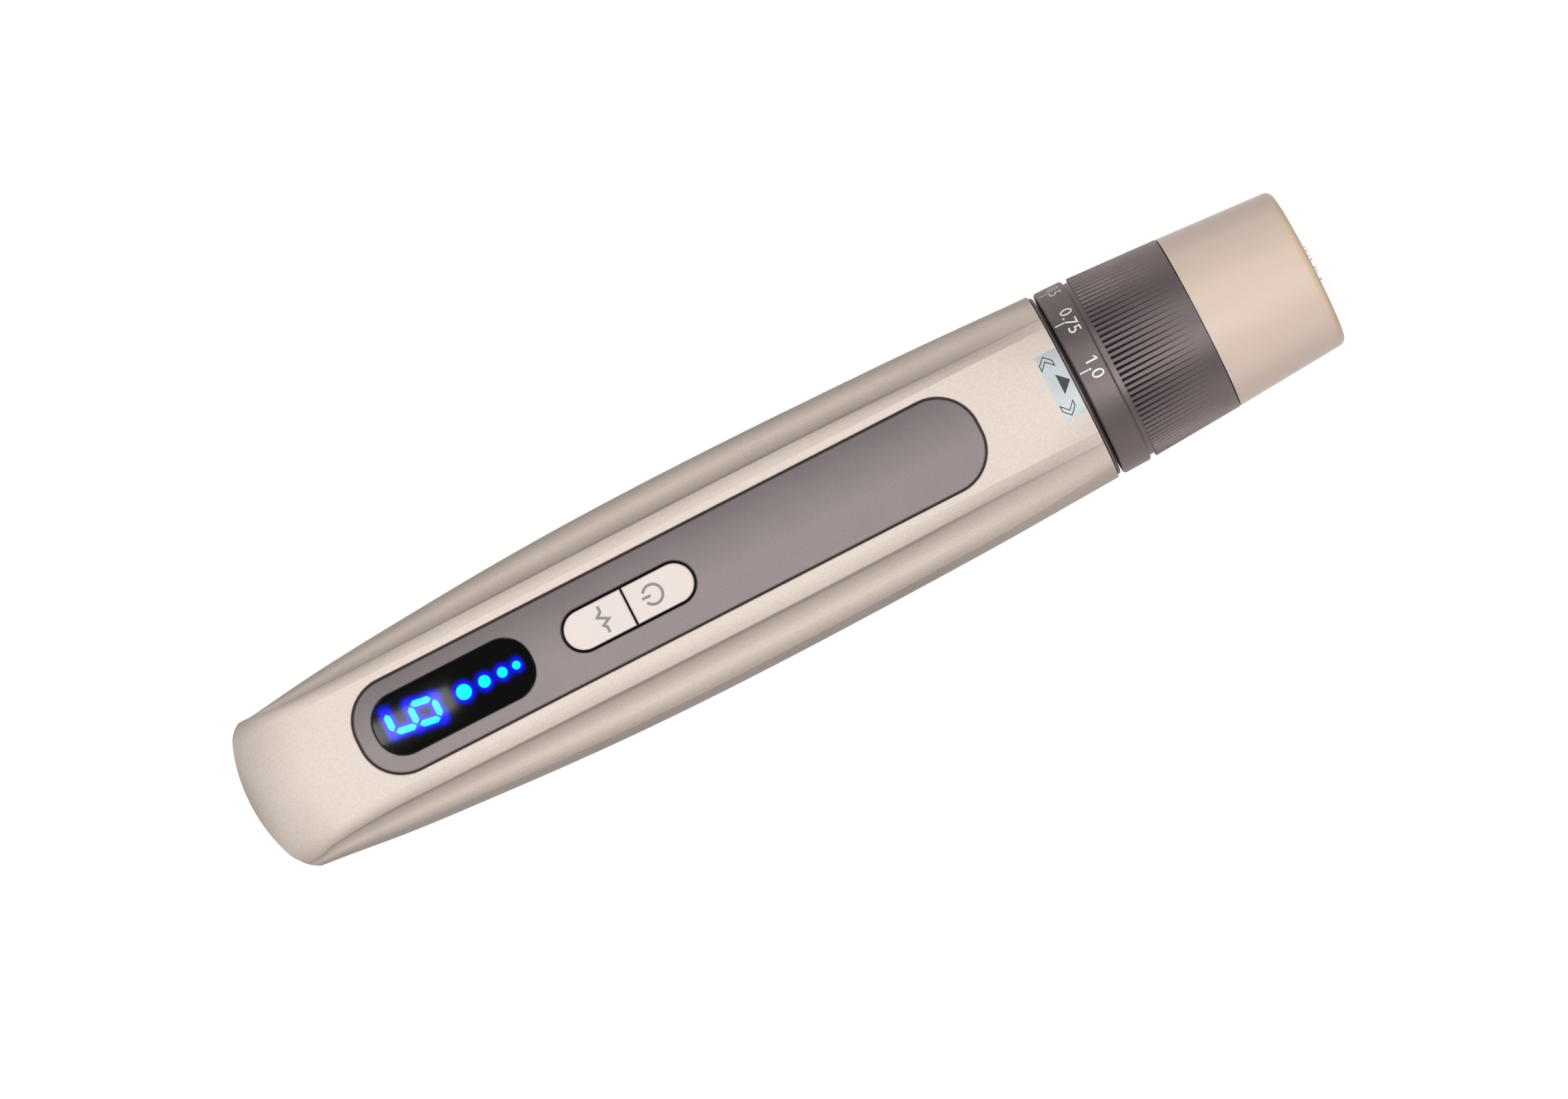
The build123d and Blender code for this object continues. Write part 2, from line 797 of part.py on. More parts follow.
# The charging socket on its small board in the tail
with BuildPart() as charging_board:
    with BuildSketch(level(charge_board_top - charge_board_thickness)):
        with Locations((charge_board_rear + charge_board_length / 2, 0)):
            RectangleRounded(charge_board_length, charge_board_width, board_corner)
    extrude(amount=charge_board_thickness)
finish(charging_board, "charging_board")

with BuildPart() as charging_socket:
    with BuildSketch(station(socket_front)):
        SlotOverall(socket_width, socket_height)
    extrude(amount=socket_length)
    with BuildSketch(station(socket_front)):
        SlotOverall(socket_width - 2 * socket_wall, socket_height - 2 * socket_wall)
    extrude(amount=socket_length - socket_back, mode=Mode.SUBTRACT)
    with BuildSketch(station(socket_front + socket_wall)):
        Rectangle(tongue_width, tongue_height)
    extrude(amount=socket_length - socket_back)
finish(charging_socket, "charging_socket")

# Motor, its mount and the slanted cam on its shaft
shaft_rear = can_front - shaft_bury
shaft_front = cam_middle - shaft_short
motor_screw_places = [(-mount_screw_circle, 0), (mount_screw_circle, 0)]
with BuildPart() as motor_can:
    with BuildSketch(station(can_rear)):
        Circle(motor_radius)
    extrude(amount=motor_length)
    fillet(motor_can.edges().filter_by(GeomType.CIRCLE), motor_edge)
    with BuildSketch(station(can_front)):
        Circle(motor_boss_radius)
    extrude(amount=motor_boss_length)
    bore(shaft_rear - end_play, can_front + motor_boss_length, shaft_radius + running_fit)
    with BuildSketch(station(can_front)):
        with Locations(*motor_screw_places):
            Circle(screw_radius)
    extrude(amount=-mount_screw_bite, mode=Mode.SUBTRACT)
finish(motor_can, "motor_can")

terminal_out = terminal_out_share * end_cap_radius
terminal_up = terminal_up_share * end_cap_radius
with BuildPart() as motor_end_cap:
    tube(end_cap_rear, can_rear, end_cap_radius, end_cap_bore)
    with BuildSketch(station(end_cap_rear)):
        with Locations((-terminal_out, terminal_up), (terminal_out, terminal_up)):
            Rectangle(terminal_thickness, terminal_width)
    extrude(amount=-terminal_length)
finish(motor_end_cap, "motor_end_cap")

with BuildPart() as motor_mount:
    tube(can_front, mount_front, skirt_radius, motor_boss_radius + running_fit)
    with BuildSketch(station(can_front)):
        with Locations(*motor_screw_places):
            Circle(screw_radius + snug_gap)
    extrude(amount=mount_thickness, mode=Mode.SUBTRACT)
finish(motor_mount, "motor_mount")

with BuildPart() as motor_screws:
    with BuildSketch(station(can_front - mount_screw_bite)):
        with Locations(*motor_screw_places):
            Circle(screw_radius)
    extrude(amount=mount_screw_bite + mount_thickness)
    with BuildSketch(station(mount_front)):
        with Locations(*motor_screw_places):
            Circle(screw_head_radius)
    extrude(amount=screw_head_height)
finish(motor_screws, "motor_screws")

with BuildPart() as motor_shaft:
    with BuildSketch(station(shaft_rear)):
        Circle(shaft_radius)
    extrude(amount=shaft_front - shaft_rear)
finish(motor_shaft, "motor_shaft")

cam_face = Plane(origin=(cam_middle, 0, axis_height), z_dir=(1, 0, cam_slope))
set_screw_x = cam_rear + set_screw_setback
with BuildPart() as drive_cam:
    with BuildSketch(station(cam_rear)):
        Circle(cam_radius)
        Circle(shaft_radius, mode=Mode.SUBTRACT)
    extrude(amount=cam_body + cam_radius)
    split(bisect_by=cam_face, keep=Keep.BOTTOM)
    with BuildSketch(level(-shaft_radius)):
        with Locations((set_screw_x, 0)):
            Circle(set_screw_radius)
    extrude(amount=-cam_radius, mode=Mode.SUBTRACT)
finish(drive_cam, "drive_cam")

with BuildPart() as cam_set_screw:
    with BuildSketch(level(-shaft_radius)):
        with Locations((set_screw_x, 0)):
            Circle(set_screw_radius)
    extrude(amount=-set_screw_length)
finish(cam_set_screw, "cam_set_screw")

# The rod that carries the cam's stroke to the needles, with its bush, seal and spring
with BuildPart() as drive_rod:
    with BuildSketch(station(head_rear)):
        Circle(head_radius)
        with Locations((0, follower_radius / 2)):
            SlotOverall(follower_radius + 2 * follower_arm, 2 * follower_arm, rotation=90)
    extrude(amount=head_thickness)
    with BuildSketch(station(head_rear)):
        with Locations((0, follower_radius)):
            Circle(nub_radius)
    extrude(amount=-nub_length)
    fillet(drive_rod.edges().filter_by(GeomType.CIRCLE).sort_by(Axis.X)[0], nub_round)
    with BuildSketch(station(head_front)):
        Circle(rod_radius)
    extrude(amount=rod_shoulder - head_front)
    with BuildSketch(station(rod_shoulder)):
        Circle(rod_tip_radius)
    extrude(amount=rod_tip - rod_shoulder)
finish(drive_rod, "drive_rod")

with BuildPart() as rod_bush:
    tube(bush_rear, diaphragm_rear, bush_flange_radius, rod_radius + running_fit)
    tube(diaphragm_rear, diaphragm_front, bush_radius, rod_radius + running_fit)
finish(rod_bush, "rod_bush")

with BuildPart() as rod_seal:
    tube(diaphragm_front, seal_front, seal_radius, rod_radius + running_fit)
finish(rod_seal, "rod_seal")


def coil(start, end, radius, wire, turns):
    """Sweeps a compression spring's wire between two stations, clear of both by its own end gap."""
    rise = end - start - wire - 2 * end_play
    with BuildPart() as spring:
        with BuildLine() as path:
            Helix(pitch=rise / turns, height=rise, radius=radius)
        with BuildSketch(Plane(origin=path.line @ 0, x_dir=(1, 0, 0), z_dir=path.line % 0)):
            RegularPolygon(wire / 2, wire_sides)
        sweep(path=path.line, is_frenet=True)
    spring.part = station(start + wire / 2 + end_play).location * spring.part
    return spring


rod_spring = coil(head_front, bush_rear, rod_spring_radius, rod_spring_wire, rod_spring_turns)
finish(rod_spring, "rod_spring")

# The barrel that carries the drive, the dial and the sliding carriage
flange_rear = rim_x - flange_length
thrust_x = scale_rear - end_play
pin_room = guide_pin_radius + running_fit
with BuildPart() as nose_barrel:
    turn(
        [
            (mount_front, skirt_bore),
            (mount_front, skirt_radius),
            (flange_rear, skirt_radius),
            (flange_rear, flange_radius),
            (rim_x, flange_radius),
            (rim_x, step_radius),
            (thrust_x, step_radius),
            (thrust_x, snout_radius),
            (snout_front, snout_radius),
            (snout_front, snout_bore),
            (diaphragm_front, snout_bore),
            (diaphragm_front, bush_radius),
            (diaphragm_rear, bush_radius),
            (diaphragm_rear, skirt_bore),
        ]
    )
    with BuildSketch(side_plane.offset(-body_width)):
        with Locations((guide_pin_x + depth_travel / 2, 0)):
            SlotOverall(2 * pin_room + depth_travel, 2 * pin_room)
    extrude(amount=2 * body_width, mode=Mode.SUBTRACT)
    for start, end, depth in (
        (clip_rear, clip_front, clip_bite),
        (o_ring_x - o_ring_wire / 2, o_ring_x + o_ring_wire / 2, o_ring_wire),
    ):
        with BuildSketch(station(start)):
            Circle(snout_radius + overrun)
            Circle(snout_radius - depth, mode=Mode.SUBTRACT)
        extrude(amount=end - start, mode=Mode.SUBTRACT)
finish(nose_barrel, "nose_barrel")

with BuildPart() as nose_trim_ring:
    tube(rim_x, trim_front, trim_radius, step_radius + running_fit)
    chamfer(nose_trim_ring.edges().filter_by(GeomType.CIRCLE).group_by(SortBy.RADIUS)[-1], trim_edge)
finish(nose_trim_ring, "nose_trim_ring")


def o_ring(x, outer_radius):
    """Builds a rubber ring of round section that reaches out to outer_radius."""
    with BuildPart() as ring:
        with BuildSketch(side_plane):
            with Locations((x, outer_radius - o_ring_wire / 2)):
                RegularPolygon(o_ring_wire / 2, wire_sides, major_radius=False, rotation=180 / wire_sides)
        revolve(axis=pen_axis)
    return ring


friction_ring = o_ring(o_ring_x, snout_radius)
finish(friction_ring, "friction_ring")

with BuildPart() as dial_retaining_ring:
    tube(clip_rear, clip_front, clip_radius, snout_radius - clip_bite)
    with BuildSketch(station(clip_rear)):
        with Locations((0, -clip_radius)):
            Rectangle(clip_opening, clip_radius)
    extrude(amount=clip_thickness, mode=Mode.SUBTRACT)
finish(dial_retaining_ring, "dial_retaining_ring")

# The dial carries the scale at its rear and a helical track inside, which drives the carriage
track_lead = depth_travel / scale_turn
track_middle = dial_bore + track_depth / 2
track_end = degrees(pin_room / track_middle)
with BuildPart() as track_cutter:
    with BuildLine() as track_path:
        Helix(
            pitch=track_lead * 360,
            height=track_lead * (scale_turn + 2 * track_end),
            radius=track_middle,
            lefthand=True,
        )
    with BuildSketch(Plane(origin=track_path.line @ 0, x_dir=(1, 0, 0), z_dir=track_path.line % 0)):
        Rectangle(track_depth + 2 * snug_gap, 2 * pin_room)
    sweep(path=track_path.line, is_frenet=True)
track_start = station(guide_pin_x - track_lead * track_end)
track_solid = track_start.location * track_cutter.part

with BuildPart() as depth_dial:
    turn(
        [
            (scale_rear, dial_bore),
            (scale_rear, dial_rear_radius - dial_edge),
            (scale_rear + dial_edge, dial_rear_radius),
            (scale_front - dial_edge, dial_front_radius),
            (scale_front, dial_front_radius - dial_edge),
            (scale_front, neck_radius),
            (grip_rear, neck_radius),
            (grip_rear, dial_hub_radius),
            (grip_front, dial_hub_radius),
            (grip_front, clip_pocket_radius),
            (clip_rear - snug_gap, clip_pocket_radius),
            (clip_rear - snug_gap, dial_bore),
        ]
    )
    add(
        [track_solid.rotate(pen_axis, track_end + turned) for turned in (0, 180)],
        mode=Mode.SUBTRACT,
    )
finish(depth_dial, "depth_dial")

# The grip's ribs are what is left between grooves that run out towards the needles
groove_run = grip_length * rib_run_share
grip_slope = (grip_rear_radius - grip_front_radius) / grip_length
groove_rise = groove_depth / groove_run - grip_slope
groove_plane = Plane(
    origin=(grip_rear, 0, axis_height + grip_rear_radius - groove_depth),
    x_dir=(0, 1, 0),
    z_dir=(1, 0, groove_rise),
)
with BuildPart() as groove:
    with BuildSketch(groove_plane.offset(-overrun)):
        with BuildLine():
            spread = overrun * tan(radians(groove_angle / 2))
            Polyline((0, 0), (spread, overrun), (-spread, overrun), close=True)
        make_face()
    extrude(amount=grip_length + overrun)

with BuildPart() as grip_ring:
    turn(
        [
            (grip_rear, dial_hub_radius),
            (grip_rear, grip_rear_radius),
            (grip_front, grip_front_radius),
            (grip_front, dial_hub_radius),
        ]
    )
    add(
        [groove.part.rotate(pen_axis, 360 / rib_count * count) for count in range(rib_count)],
        mode=Mode.SUBTRACT,
    )
finish(grip_ring, "grip_ring")

# The carriage slides in the barrel on two pins and carries the cartridge on its cup
cup_ring_x = cup_rear + cup_ring_setback
with BuildPart() as carriage:
    turn(
        [
            (carriage_rear, carriage_bore),
            (carriage_rear, carriage_radius),
            (web_rear, carriage_radius),
            (web_rear, cup_radius),
            (cup_front, cup_radius),
            (cup_front, cup_bore),
            (cup_rear, cup_bore),
            (cup_rear, carriage_bore),
        ]
    )
    with BuildSketch(side_plane.offset(-body_width)):
        with Locations((guide_pin_x, 0)):
            Circle(guide_pin_radius)
    extrude(amount=2 * body_width, mode=Mode.SUBTRACT)
    with BuildSketch(station(cup_ring_x - o_ring_wire / 2)):
        Circle(cup_radius + overrun)
        Circle(cup_radius + running_fit - o_ring_wire, mode=Mode.SUBTRACT)
    extrude(amount=o_ring_wire, mode=Mode.SUBTRACT)
finish(carriage, "carriage")

with BuildPart() as guide_pins:
    for side in (-1, 1):
        with BuildSketch(side_plane.offset(side * carriage_bore)):
            with Locations((guide_pin_x, 0)):
                Circle(guide_pin_radius)
        extrude(amount=side * (dial_bore + track_depth - snug_gap - carriage_bore))
finish(guide_pins, "guide_pins")

cartridge_o_ring = o_ring(cup_ring_x, cup_radius + running_fit)
finish(cartridge_o_ring, "cartridge_o_ring")

# The cartridge, pulled off over the cup, with the sliding needle hub inside it
with BuildPart() as cartridge_shell:
    turn(
        [
            (cartridge_rear, cartridge_bore),
            (cartridge_rear, cartridge_rear_radius),
            (face_x, cartridge_front_radius),
            (face_x, front_opening_radius),
            (face_x - front_lip, front_opening_radius),
            (face_x - front_lip, cartridge_bore),
        ]
    )
    front_edges = cartridge_shell.edges().filter_by(GeomType.CIRCLE).group_by(Axis.X)[-1]
    fillet(front_edges.sort_by(SortBy.RADIUS)[-1], cartridge_front_round)
finish(cartridge_shell, "cartridge_shell")

with BuildPart() as cartridge_guide:
    tube(guide_rear, web_front, hub_radius + running_fit + guide_wall, hub_radius + running_fit)
    tube(web_front - guide_web, web_front, cartridge_bore, hub_radius + running_fit)
finish(cartridge_guide, "cartridge_guide")


def electrode_outline():
    """The outline of the two electrodes, one on each side of the aperture."""
    with BuildSketch(station(face_x - electrode_thickness)) as outline:
        Circle(electrode_outer)
        Circle(electrode_inner, mode=Mode.SUBTRACT)
        Rectangle(electrode_gap, 2 * electrode_outer, mode=Mode.SUBTRACT)
    return outline.sketch


with BuildPart() as cartridge_face:
    tube(plate_rear, face_x - front_lip, cartridge_bore, aperture_radius)
    tube(face_x - front_lip, face_x, front_opening_radius - running_fit, aperture_radius)
    extrude(electrode_outline(), amount=electrode_thickness, mode=Mode.SUBTRACT)
finish(cartridge_face, "cartridge_face")

with BuildPart() as electrodes:
    extrude(electrode_outline(), amount=electrode_thickness + electrode_proud)
finish(electrodes, "electrodes")


def needle_circles(x):
    """The two rings of needles as circles on the plane across the pen at x."""
    with BuildSketch(station(x)) as circles:
        with PolarLocations(outer_pin_circle, outer_pins):
            Circle(needle_radius)
        with PolarLocations(inner_pin_circle, inner_pins):
            Circle(needle_radius)
    return circles.sketch


needle_rear = hub_front - needle_bury
needle_tip_rear = face_x + depth_travel - needle_tip_length
tip_taper = degrees(atan((needle_radius - needle_tip_radius) / needle_tip_length))
with BuildPart() as needle_hub:
    turn(
        [
            (hub_rear, 0),
            (hub_rear, hub_flange_radius),
            (hub_flange_front, hub_flange_radius),
            (hub_flange_front, hub_radius),
            (hub_front, hub_radius),
            (hub_front, 0),
        ]
    )
    bore(hub_rear, hub_rear + hub_socket_depth, rod_tip_radius + running_fit)
    extrude(needle_circles(needle_rear), amount=needle_bury, mode=Mode.SUBTRACT)
finish(needle_hub, "needle_hub")

with BuildPart() as needles:
    extrude(needle_circles(needle_rear), amount=needle_tip_rear - needle_rear)
    extrude(needle_circles(needle_tip_rear), amount=needle_tip_length, taper=tip_taper)
finish(needles, "needles")

hub_spring = coil(
    hub_flange_front, guide_rear, hub_spring_radius, hub_spring_wire, hub_spring_turns
)
finish(hub_spring, "hub_spring")
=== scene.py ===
import math

import bmesh
import bpy
from bpy.props import FloatProperty, FloatVectorProperty, PointerProperty
from mathutils import Matrix, Vector
from mathutils.bvhtree import BVHTree


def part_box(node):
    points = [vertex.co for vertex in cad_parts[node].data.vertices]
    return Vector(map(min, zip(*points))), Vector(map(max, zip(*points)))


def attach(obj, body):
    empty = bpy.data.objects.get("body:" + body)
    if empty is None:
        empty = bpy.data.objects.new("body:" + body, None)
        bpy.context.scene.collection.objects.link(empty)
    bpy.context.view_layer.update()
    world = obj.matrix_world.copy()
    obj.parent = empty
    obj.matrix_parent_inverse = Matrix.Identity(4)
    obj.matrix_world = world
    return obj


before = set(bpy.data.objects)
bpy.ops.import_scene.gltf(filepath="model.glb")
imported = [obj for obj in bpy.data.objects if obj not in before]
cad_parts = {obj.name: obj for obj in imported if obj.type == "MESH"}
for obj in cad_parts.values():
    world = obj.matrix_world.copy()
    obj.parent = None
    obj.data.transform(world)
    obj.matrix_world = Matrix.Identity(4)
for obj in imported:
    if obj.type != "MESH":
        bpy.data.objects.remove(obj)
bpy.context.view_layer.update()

bl_info = {
    "name": "Microneedling pen",
    "version": (1, 0, 0),
    "blender": (4, 5, 0),
    "location": "View3D > Sidebar > Pen",
    "description": "Dresses the packed model of a microneedling pen",
    "category": "Object",
}

MM = 0.001

# Places read from the frame: the pen's axis runs along X at this height, the needles at +X
BARREL_LOW, BARREL_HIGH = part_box("nose_barrel")
AXIS_Z = (BARREL_LOW.z + BARREL_HIGH.z) / 2
PANEL_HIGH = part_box("control_panel")[1]
LENS_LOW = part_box("display_lens")[0]
MODULE_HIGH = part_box("display_module")[1]
DIAL_LOW, DIAL_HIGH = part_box("depth_dial")
GRIP_LOW, GRIP_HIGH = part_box("grip_ring")
FACE_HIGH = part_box("cartridge_face")[1]
SHELL_LOW, SHELL_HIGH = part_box("upper_shell")

# Between these two lie nearly all the values of a noise texture
NOISE_LOW, NOISE_HIGH = 0.3, 0.7

# How far a print lies off what carries it, and the thickness of its ink
INK_LIFT = 0.01 * MM
INK_FILM = 0.01 * MM

# The housing's plan as shares: how far along it, then its half width and where its crease lies
HOUSING_PLAN = (
    (0.0, 0.720, 0.697), (0.032, 0.737, 0.700), (0.065, 0.767, 0.660), (0.124, 0.826, 0.632),
    (0.217, 0.890, 0.630), (0.350, 0.960, 0.634), (0.557, 1.000, 0.640), (0.741, 0.982, 0.634),
    (0.880, 0.951, 0.617), (1.0, 0.908, 0.612),
)
# Painted shade and highlight across it, from the crown through the crease (at 0.5) to the belt (at
# 1): dark in the crease and at the belt, lighter on the ledge between
PAINTED_SHADE_ACROSS = (
    (0.0, 0.79), (0.42, 0.79), (0.498, 0.79), (0.507, 0.66), (0.517, 0.40), (0.528, 0.40),
    (0.545, 0.56), (0.60, 0.71), (0.67, 0.86), (0.75, 0.97), (0.81, 0.84), (0.87, 0.66),
    (0.93, 0.50), (1.0, 0.38),
)
# The painted shade along it: from the tail's end to this far in, the tone is multiplied by these,
# darker at the end and a painted highlight further in
TAIL_REACH = 11 * MM
TAIL_PAINTED_SHADE = (0.92, 1.27)
# The painted shade is full above the belly and fades below it, and fades to a share near the nose
BELLY_DEPTH, BELLY_TOP = -7 * MM, 2 * MM
NOSE_START, NOSE_END = -28 * MM, -6 * MM
NOSE_SHARE = 0.45


def linear(hex_code):
    """The linear RGBA of an sRGB hex code such as #DCD1C8."""
    shares = [int(hex_code[place : place + 2], 16) / 255 for place in (1, 3, 5)]
    return [s / 12.92 if s <= 0.04045 else ((s + 0.055) / 1.055) ** 2.4 for s in shares] + [1.0]


def rgb(hex_code):
    """The linear RGB of an sRGB hex code, as a property's default."""
    return linear(hex_code)[:3]


def rgba(colour):
    """A property's colour with full opacity."""
    return (*colour, 1.0)


# Settings that a user would change


class HousingLook(bpy.types.PropertyGroup):
    """Colours and grain of the housing."""

    lacquer: FloatVectorProperty(
        name="Lacquer", description="Colour of the shells", subtype="COLOR", size=3,
        min=0, max=1, default=rgb("#E6D7CC"),
    )
    grain: FloatProperty(
        name="Grain", description="Size of the lacquer's fine grain", subtype="DISTANCE",
        unit="LENGTH", default=0.34 * MM,
    )


class PanelLook(bpy.types.PropertyGroup):
    """Colours of the panel and its keys."""

    panel: FloatVectorProperty(
        name="Panel", description="Colour of the inlaid panel", subtype="COLOR", size=3,
        min=0, max=1, default=rgb("#918484"),
    )
    keys: FloatVectorProperty(
        name="Keys", description="Colour of the two keys", subtype="COLOR", size=3,
        min=0, max=1, default=rgb("#E9DCD5"),
    )
    icon: FloatVectorProperty(
        name="Icon", description="Colour of the icons printed on the keys", subtype="COLOR",
        size=3, min=0, max=1, default=rgb("#8F8888"),
    )
    icon_line: FloatProperty(
        name="Icon line", description="Width of the icons' lines", subtype="DISTANCE",
        unit="LENGTH", default=0.42 * MM,
    )


class DisplayLook(bpy.types.PropertyGroup):
    """Colours and sizes of the lit display."""

    lit: FloatVectorProperty(
        name="Lit", description="Colour of the lit segments", subtype="COLOR", size=3,
        min=0, max=1, default=rgb("#12F4FF"),
    )
    halo: FloatVectorProperty(
        name="Halo", description="Colour of the glow round them", subtype="COLOR", size=3,
        min=0, max=1, default=rgb("#101CFF"),
    )
    halo_reach: FloatProperty(
        name="Halo reach", description="How far the glow spreads", subtype="DISTANCE",
        unit="LENGTH", default=1.5 * MM,
    )
    digit_height: FloatProperty(
        name="Digit height", description="Between the middles of its outer bars",
        subtype="DISTANCE", unit="LENGTH", default=7.2 * MM,
    )
    digit_width: FloatProperty(
        name="Digit width", description="Between the middles of its side bars",
        subtype="DISTANCE", unit="LENGTH", default=3.2 * MM,
    )
    segment: FloatProperty(
        name="Segment", description="Width of each bar", subtype="DISTANCE",
        unit="LENGTH", default=0.98 * MM,
    )
    segment_gap: FloatProperty(
        name="Segment gap", description="From a bar's tip to the corner it points at",
        subtype="DISTANCE", unit="LENGTH", default=0.24 * MM,
    )


class DialLook(bpy.types.PropertyGroup):
    """Colours and sizes of the depth dial."""

    metal: FloatVectorProperty(
        name="Metal", description="Colour of the dial and the grip", subtype="COLOR", size=3,
        min=0, max=1, default=rgb("#6F6464"),
    )
    ink: FloatVectorProperty(
        name="Ink", description="Colour of the scale", subtype="COLOR", size=3,
        min=0, max=1, default=rgb("#F4F2F0"),
    )
    numeral: FloatProperty(
        name="Numeral height", description="Height of the numerals", subtype="DISTANCE",
        unit="LENGTH", default=1.95 * MM,
    )
    step: FloatProperty(
        name="Scale step", description="Turn between two numerals", subtype="ANGLE",
        unit="ROTATION", default=math.radians(32.5),
    )


class CartridgeLook(bpy.types.PropertyGroup):
    """Colours of the needle cartridge."""

    resin: FloatVectorProperty(
        name="Resin", description="Colour of the cartridge", subtype="COLOR", size=3,
        min=0, max=1, default=rgb("#EAD4C5"),
    )
    rim: FloatVectorProperty(
        name="Rim", description="Colour of its thin front edge, where light comes through",
        subtype="COLOR", size=3, min=0, max=1, default=rgb("#F6D9B8"),
    )


class StageLook(bpy.types.PropertyGroup):
    """Light and backdrop."""

    key_power: FloatProperty(
        name="Key light", description="Power of the large soft lamp", subtype="POWER",
        unit="POWER", default=5.5,
    )
    far_power: FloatProperty(
        name="Far light", description="Power of the lamp on the other side", subtype="POWER",
        unit="POWER", default=3.1,
    )
    strip_power: FloatProperty(
        name="Strip light", description="Power of the thin lamp that the window reflects",
        subtype="POWER", unit="POWER", default=0.0062,
    )
    fill: FloatProperty(
        name="Fill", description="Brightness of the room around", subtype="FACTOR",
        min=0, max=1, default=0.13,
    )
    ceiling: FloatProperty(
        name="Ceiling", description="Brightness of the ceiling in reflections", subtype="FACTOR",
        min=0, max=1, default=0.12,
    )


# Tools for materials


def add(tree, kind, inputs=(), **settings):
    """Adds a node with its settings, and its inputs as values or as links from other nodes."""
    node = tree.nodes.new(kind)
    for name, value in settings.items():
        setattr(node, name, value)
    for socket, value in dict(inputs).items():
        if isinstance(value, bpy.types.NodeSocket):
            tree.links.new(value, node.inputs[socket])
        else:
            node.inputs[socket].default_value = value
    return node


def blank(name):
    """A new material with only its output node."""
    material = bpy.data.materials.new(name)
    material.use_nodes = True
    material.node_tree.nodes.clear()
    return material, material.node_tree


def grained(name, colour, grain, roughness, depth, metallic=0.0, speckle=0.05, shade=None, **more):
    """A finish with a fine grain: the colour and the gloss vary a little, and the surface waves.

    grain is the grain's size and depth its height, both in metres. shade builds a tone that the
    colour is multiplied by, from the tree and the place on the piece. more holds other settings
    of the shader, with _ for the spaces in their names.
    """
    cloud_size = 40 * grain
    gloss_spread = 0.04
    material, tree = blank(name)
    place = add(tree, "ShaderNodeTexCoord").outputs["Object"]
    noise = add(
        tree, "ShaderNodeTexNoise",
        {"Vector": place, "Scale": 1 / grain, "Detail": 2.0, "Roughness": 0.6},
    ).outputs["Fac"]
    cloud = add(
        tree, "ShaderNodeTexNoise", {"Vector": place, "Scale": 1 / cloud_size, "Detail": 3.0}
    ).outputs["Fac"]
    tone = add(
        tree, "ShaderNodeMapRange",
        {"Value": noise, "From Min": NOISE_LOW, "From Max": NOISE_HIGH,
         "To Min": 1 - speckle, "To Max": 1 + speckle},
    ).outputs["Result"]
    if shade:
        tone = add(
            tree, "ShaderNodeMath", {0: tone, 1: shade(tree, place)}, operation="MULTIPLY"
        ).outputs["Value"]
    paint = add(
        tree, "ShaderNodeVectorMath", {0: colour[:3], "Scale": tone}, operation="SCALE"
    ).outputs["Vector"]
    gloss = add(
        tree, "ShaderNodeMapRange",
        {"Value": cloud, "From Min": NOISE_LOW, "From Max": NOISE_HIGH,
         "To Min": roughness - gloss_spread, "To Max": roughness + gloss_spread},
    ).outputs["Result"]
    bump = add(
        tree, "ShaderNodeBump", {"Height": noise, "Distance": depth, "Strength": 1.0}
    ).outputs["Normal"]
    settings = {"Base Color": paint, "Roughness": gloss, "Metallic": metallic, "Normal": bump}
    settings.update({key.replace("_", " "): value for key, value in more.items()})
    shader = add(tree, "ShaderNodeBsdfPrincipled", settings).outputs["BSDF"]
    add(tree, "ShaderNodeOutputMaterial", {"Surface": shader})
    return material


def turned(name, colour, line, roughness):
    """A turned or drawn metal: fine lines run round the pen's axis. line is their spacing."""
    line_depth = 0.004 * MM
    gloss_spread = 0.06
    round_line = 0.02 / line
    material, tree = blank(name)
    place = add(tree, "ShaderNodeTexCoord").outputs["Object"]
    along = add(
        tree, "ShaderNodeMapping", {"Vector": place, "Scale": (1 / line, round_line, round_line)}
    ).outputs["Vector"]
    noise = add(
        tree, "ShaderNodeTexNoise", {"Vector": along, "Scale": 1.0, "Detail": 3.0}
    ).outputs["Fac"]
    gloss = add(
        tree, "ShaderNodeMapRange",
        {"Value": noise, "From Min": NOISE_LOW, "From Max": NOISE_HIGH,
         "To Min": roughness - gloss_spread, "To Max": roughness + gloss_spread},
    ).outputs["Result"]
    bump = add(
        tree, "ShaderNodeBump", {"Height": noise, "Distance": line_depth, "Strength": 1.0}
    ).outputs["Normal"]
    shader = add(tree, "ShaderNodeBsdfPrincipled", {
        "Base Color": colour, "Roughness": gloss, "Metallic": 1.0, "Normal": bump,
    }).outputs["BSDF"]
    add(tree, "ShaderNodeOutputMaterial", {"Surface": shader})
    return material


# Tools for pieces


def dress(material, *nodes):
    """Gives CAD nodes their finish."""
    for name in nodes:
        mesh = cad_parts[name].data
        mesh.materials.clear()
        mesh.materials.append(material)


def piece(name, points, faces, material, body, thickness):
    """A new mesh piece that rides on a body: a sheet of faces, thickened outwards."""
    mesh = bpy.data.meshes.new(name)
    mesh.from_pydata([tuple(point) for point in points], [], faces)
    mesh.materials.append(material)
    made = bpy.data.objects.new(name, mesh)
    bpy.context.scene.collection.objects.link(made)
    skin = made.modifiers.new("thickness", "SOLIDIFY")
    skin.thickness = thickness
    skin.offset = 1
    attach(made, body)
    return made


def surface_of(node):
    """A CAD node's faces, to lay prints and labels on."""
    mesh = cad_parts[node].data
    return BVHTree.FromPolygons(
        [v.co for v in mesh.vertices], [p.vertices for p in mesh.polygons]
    )


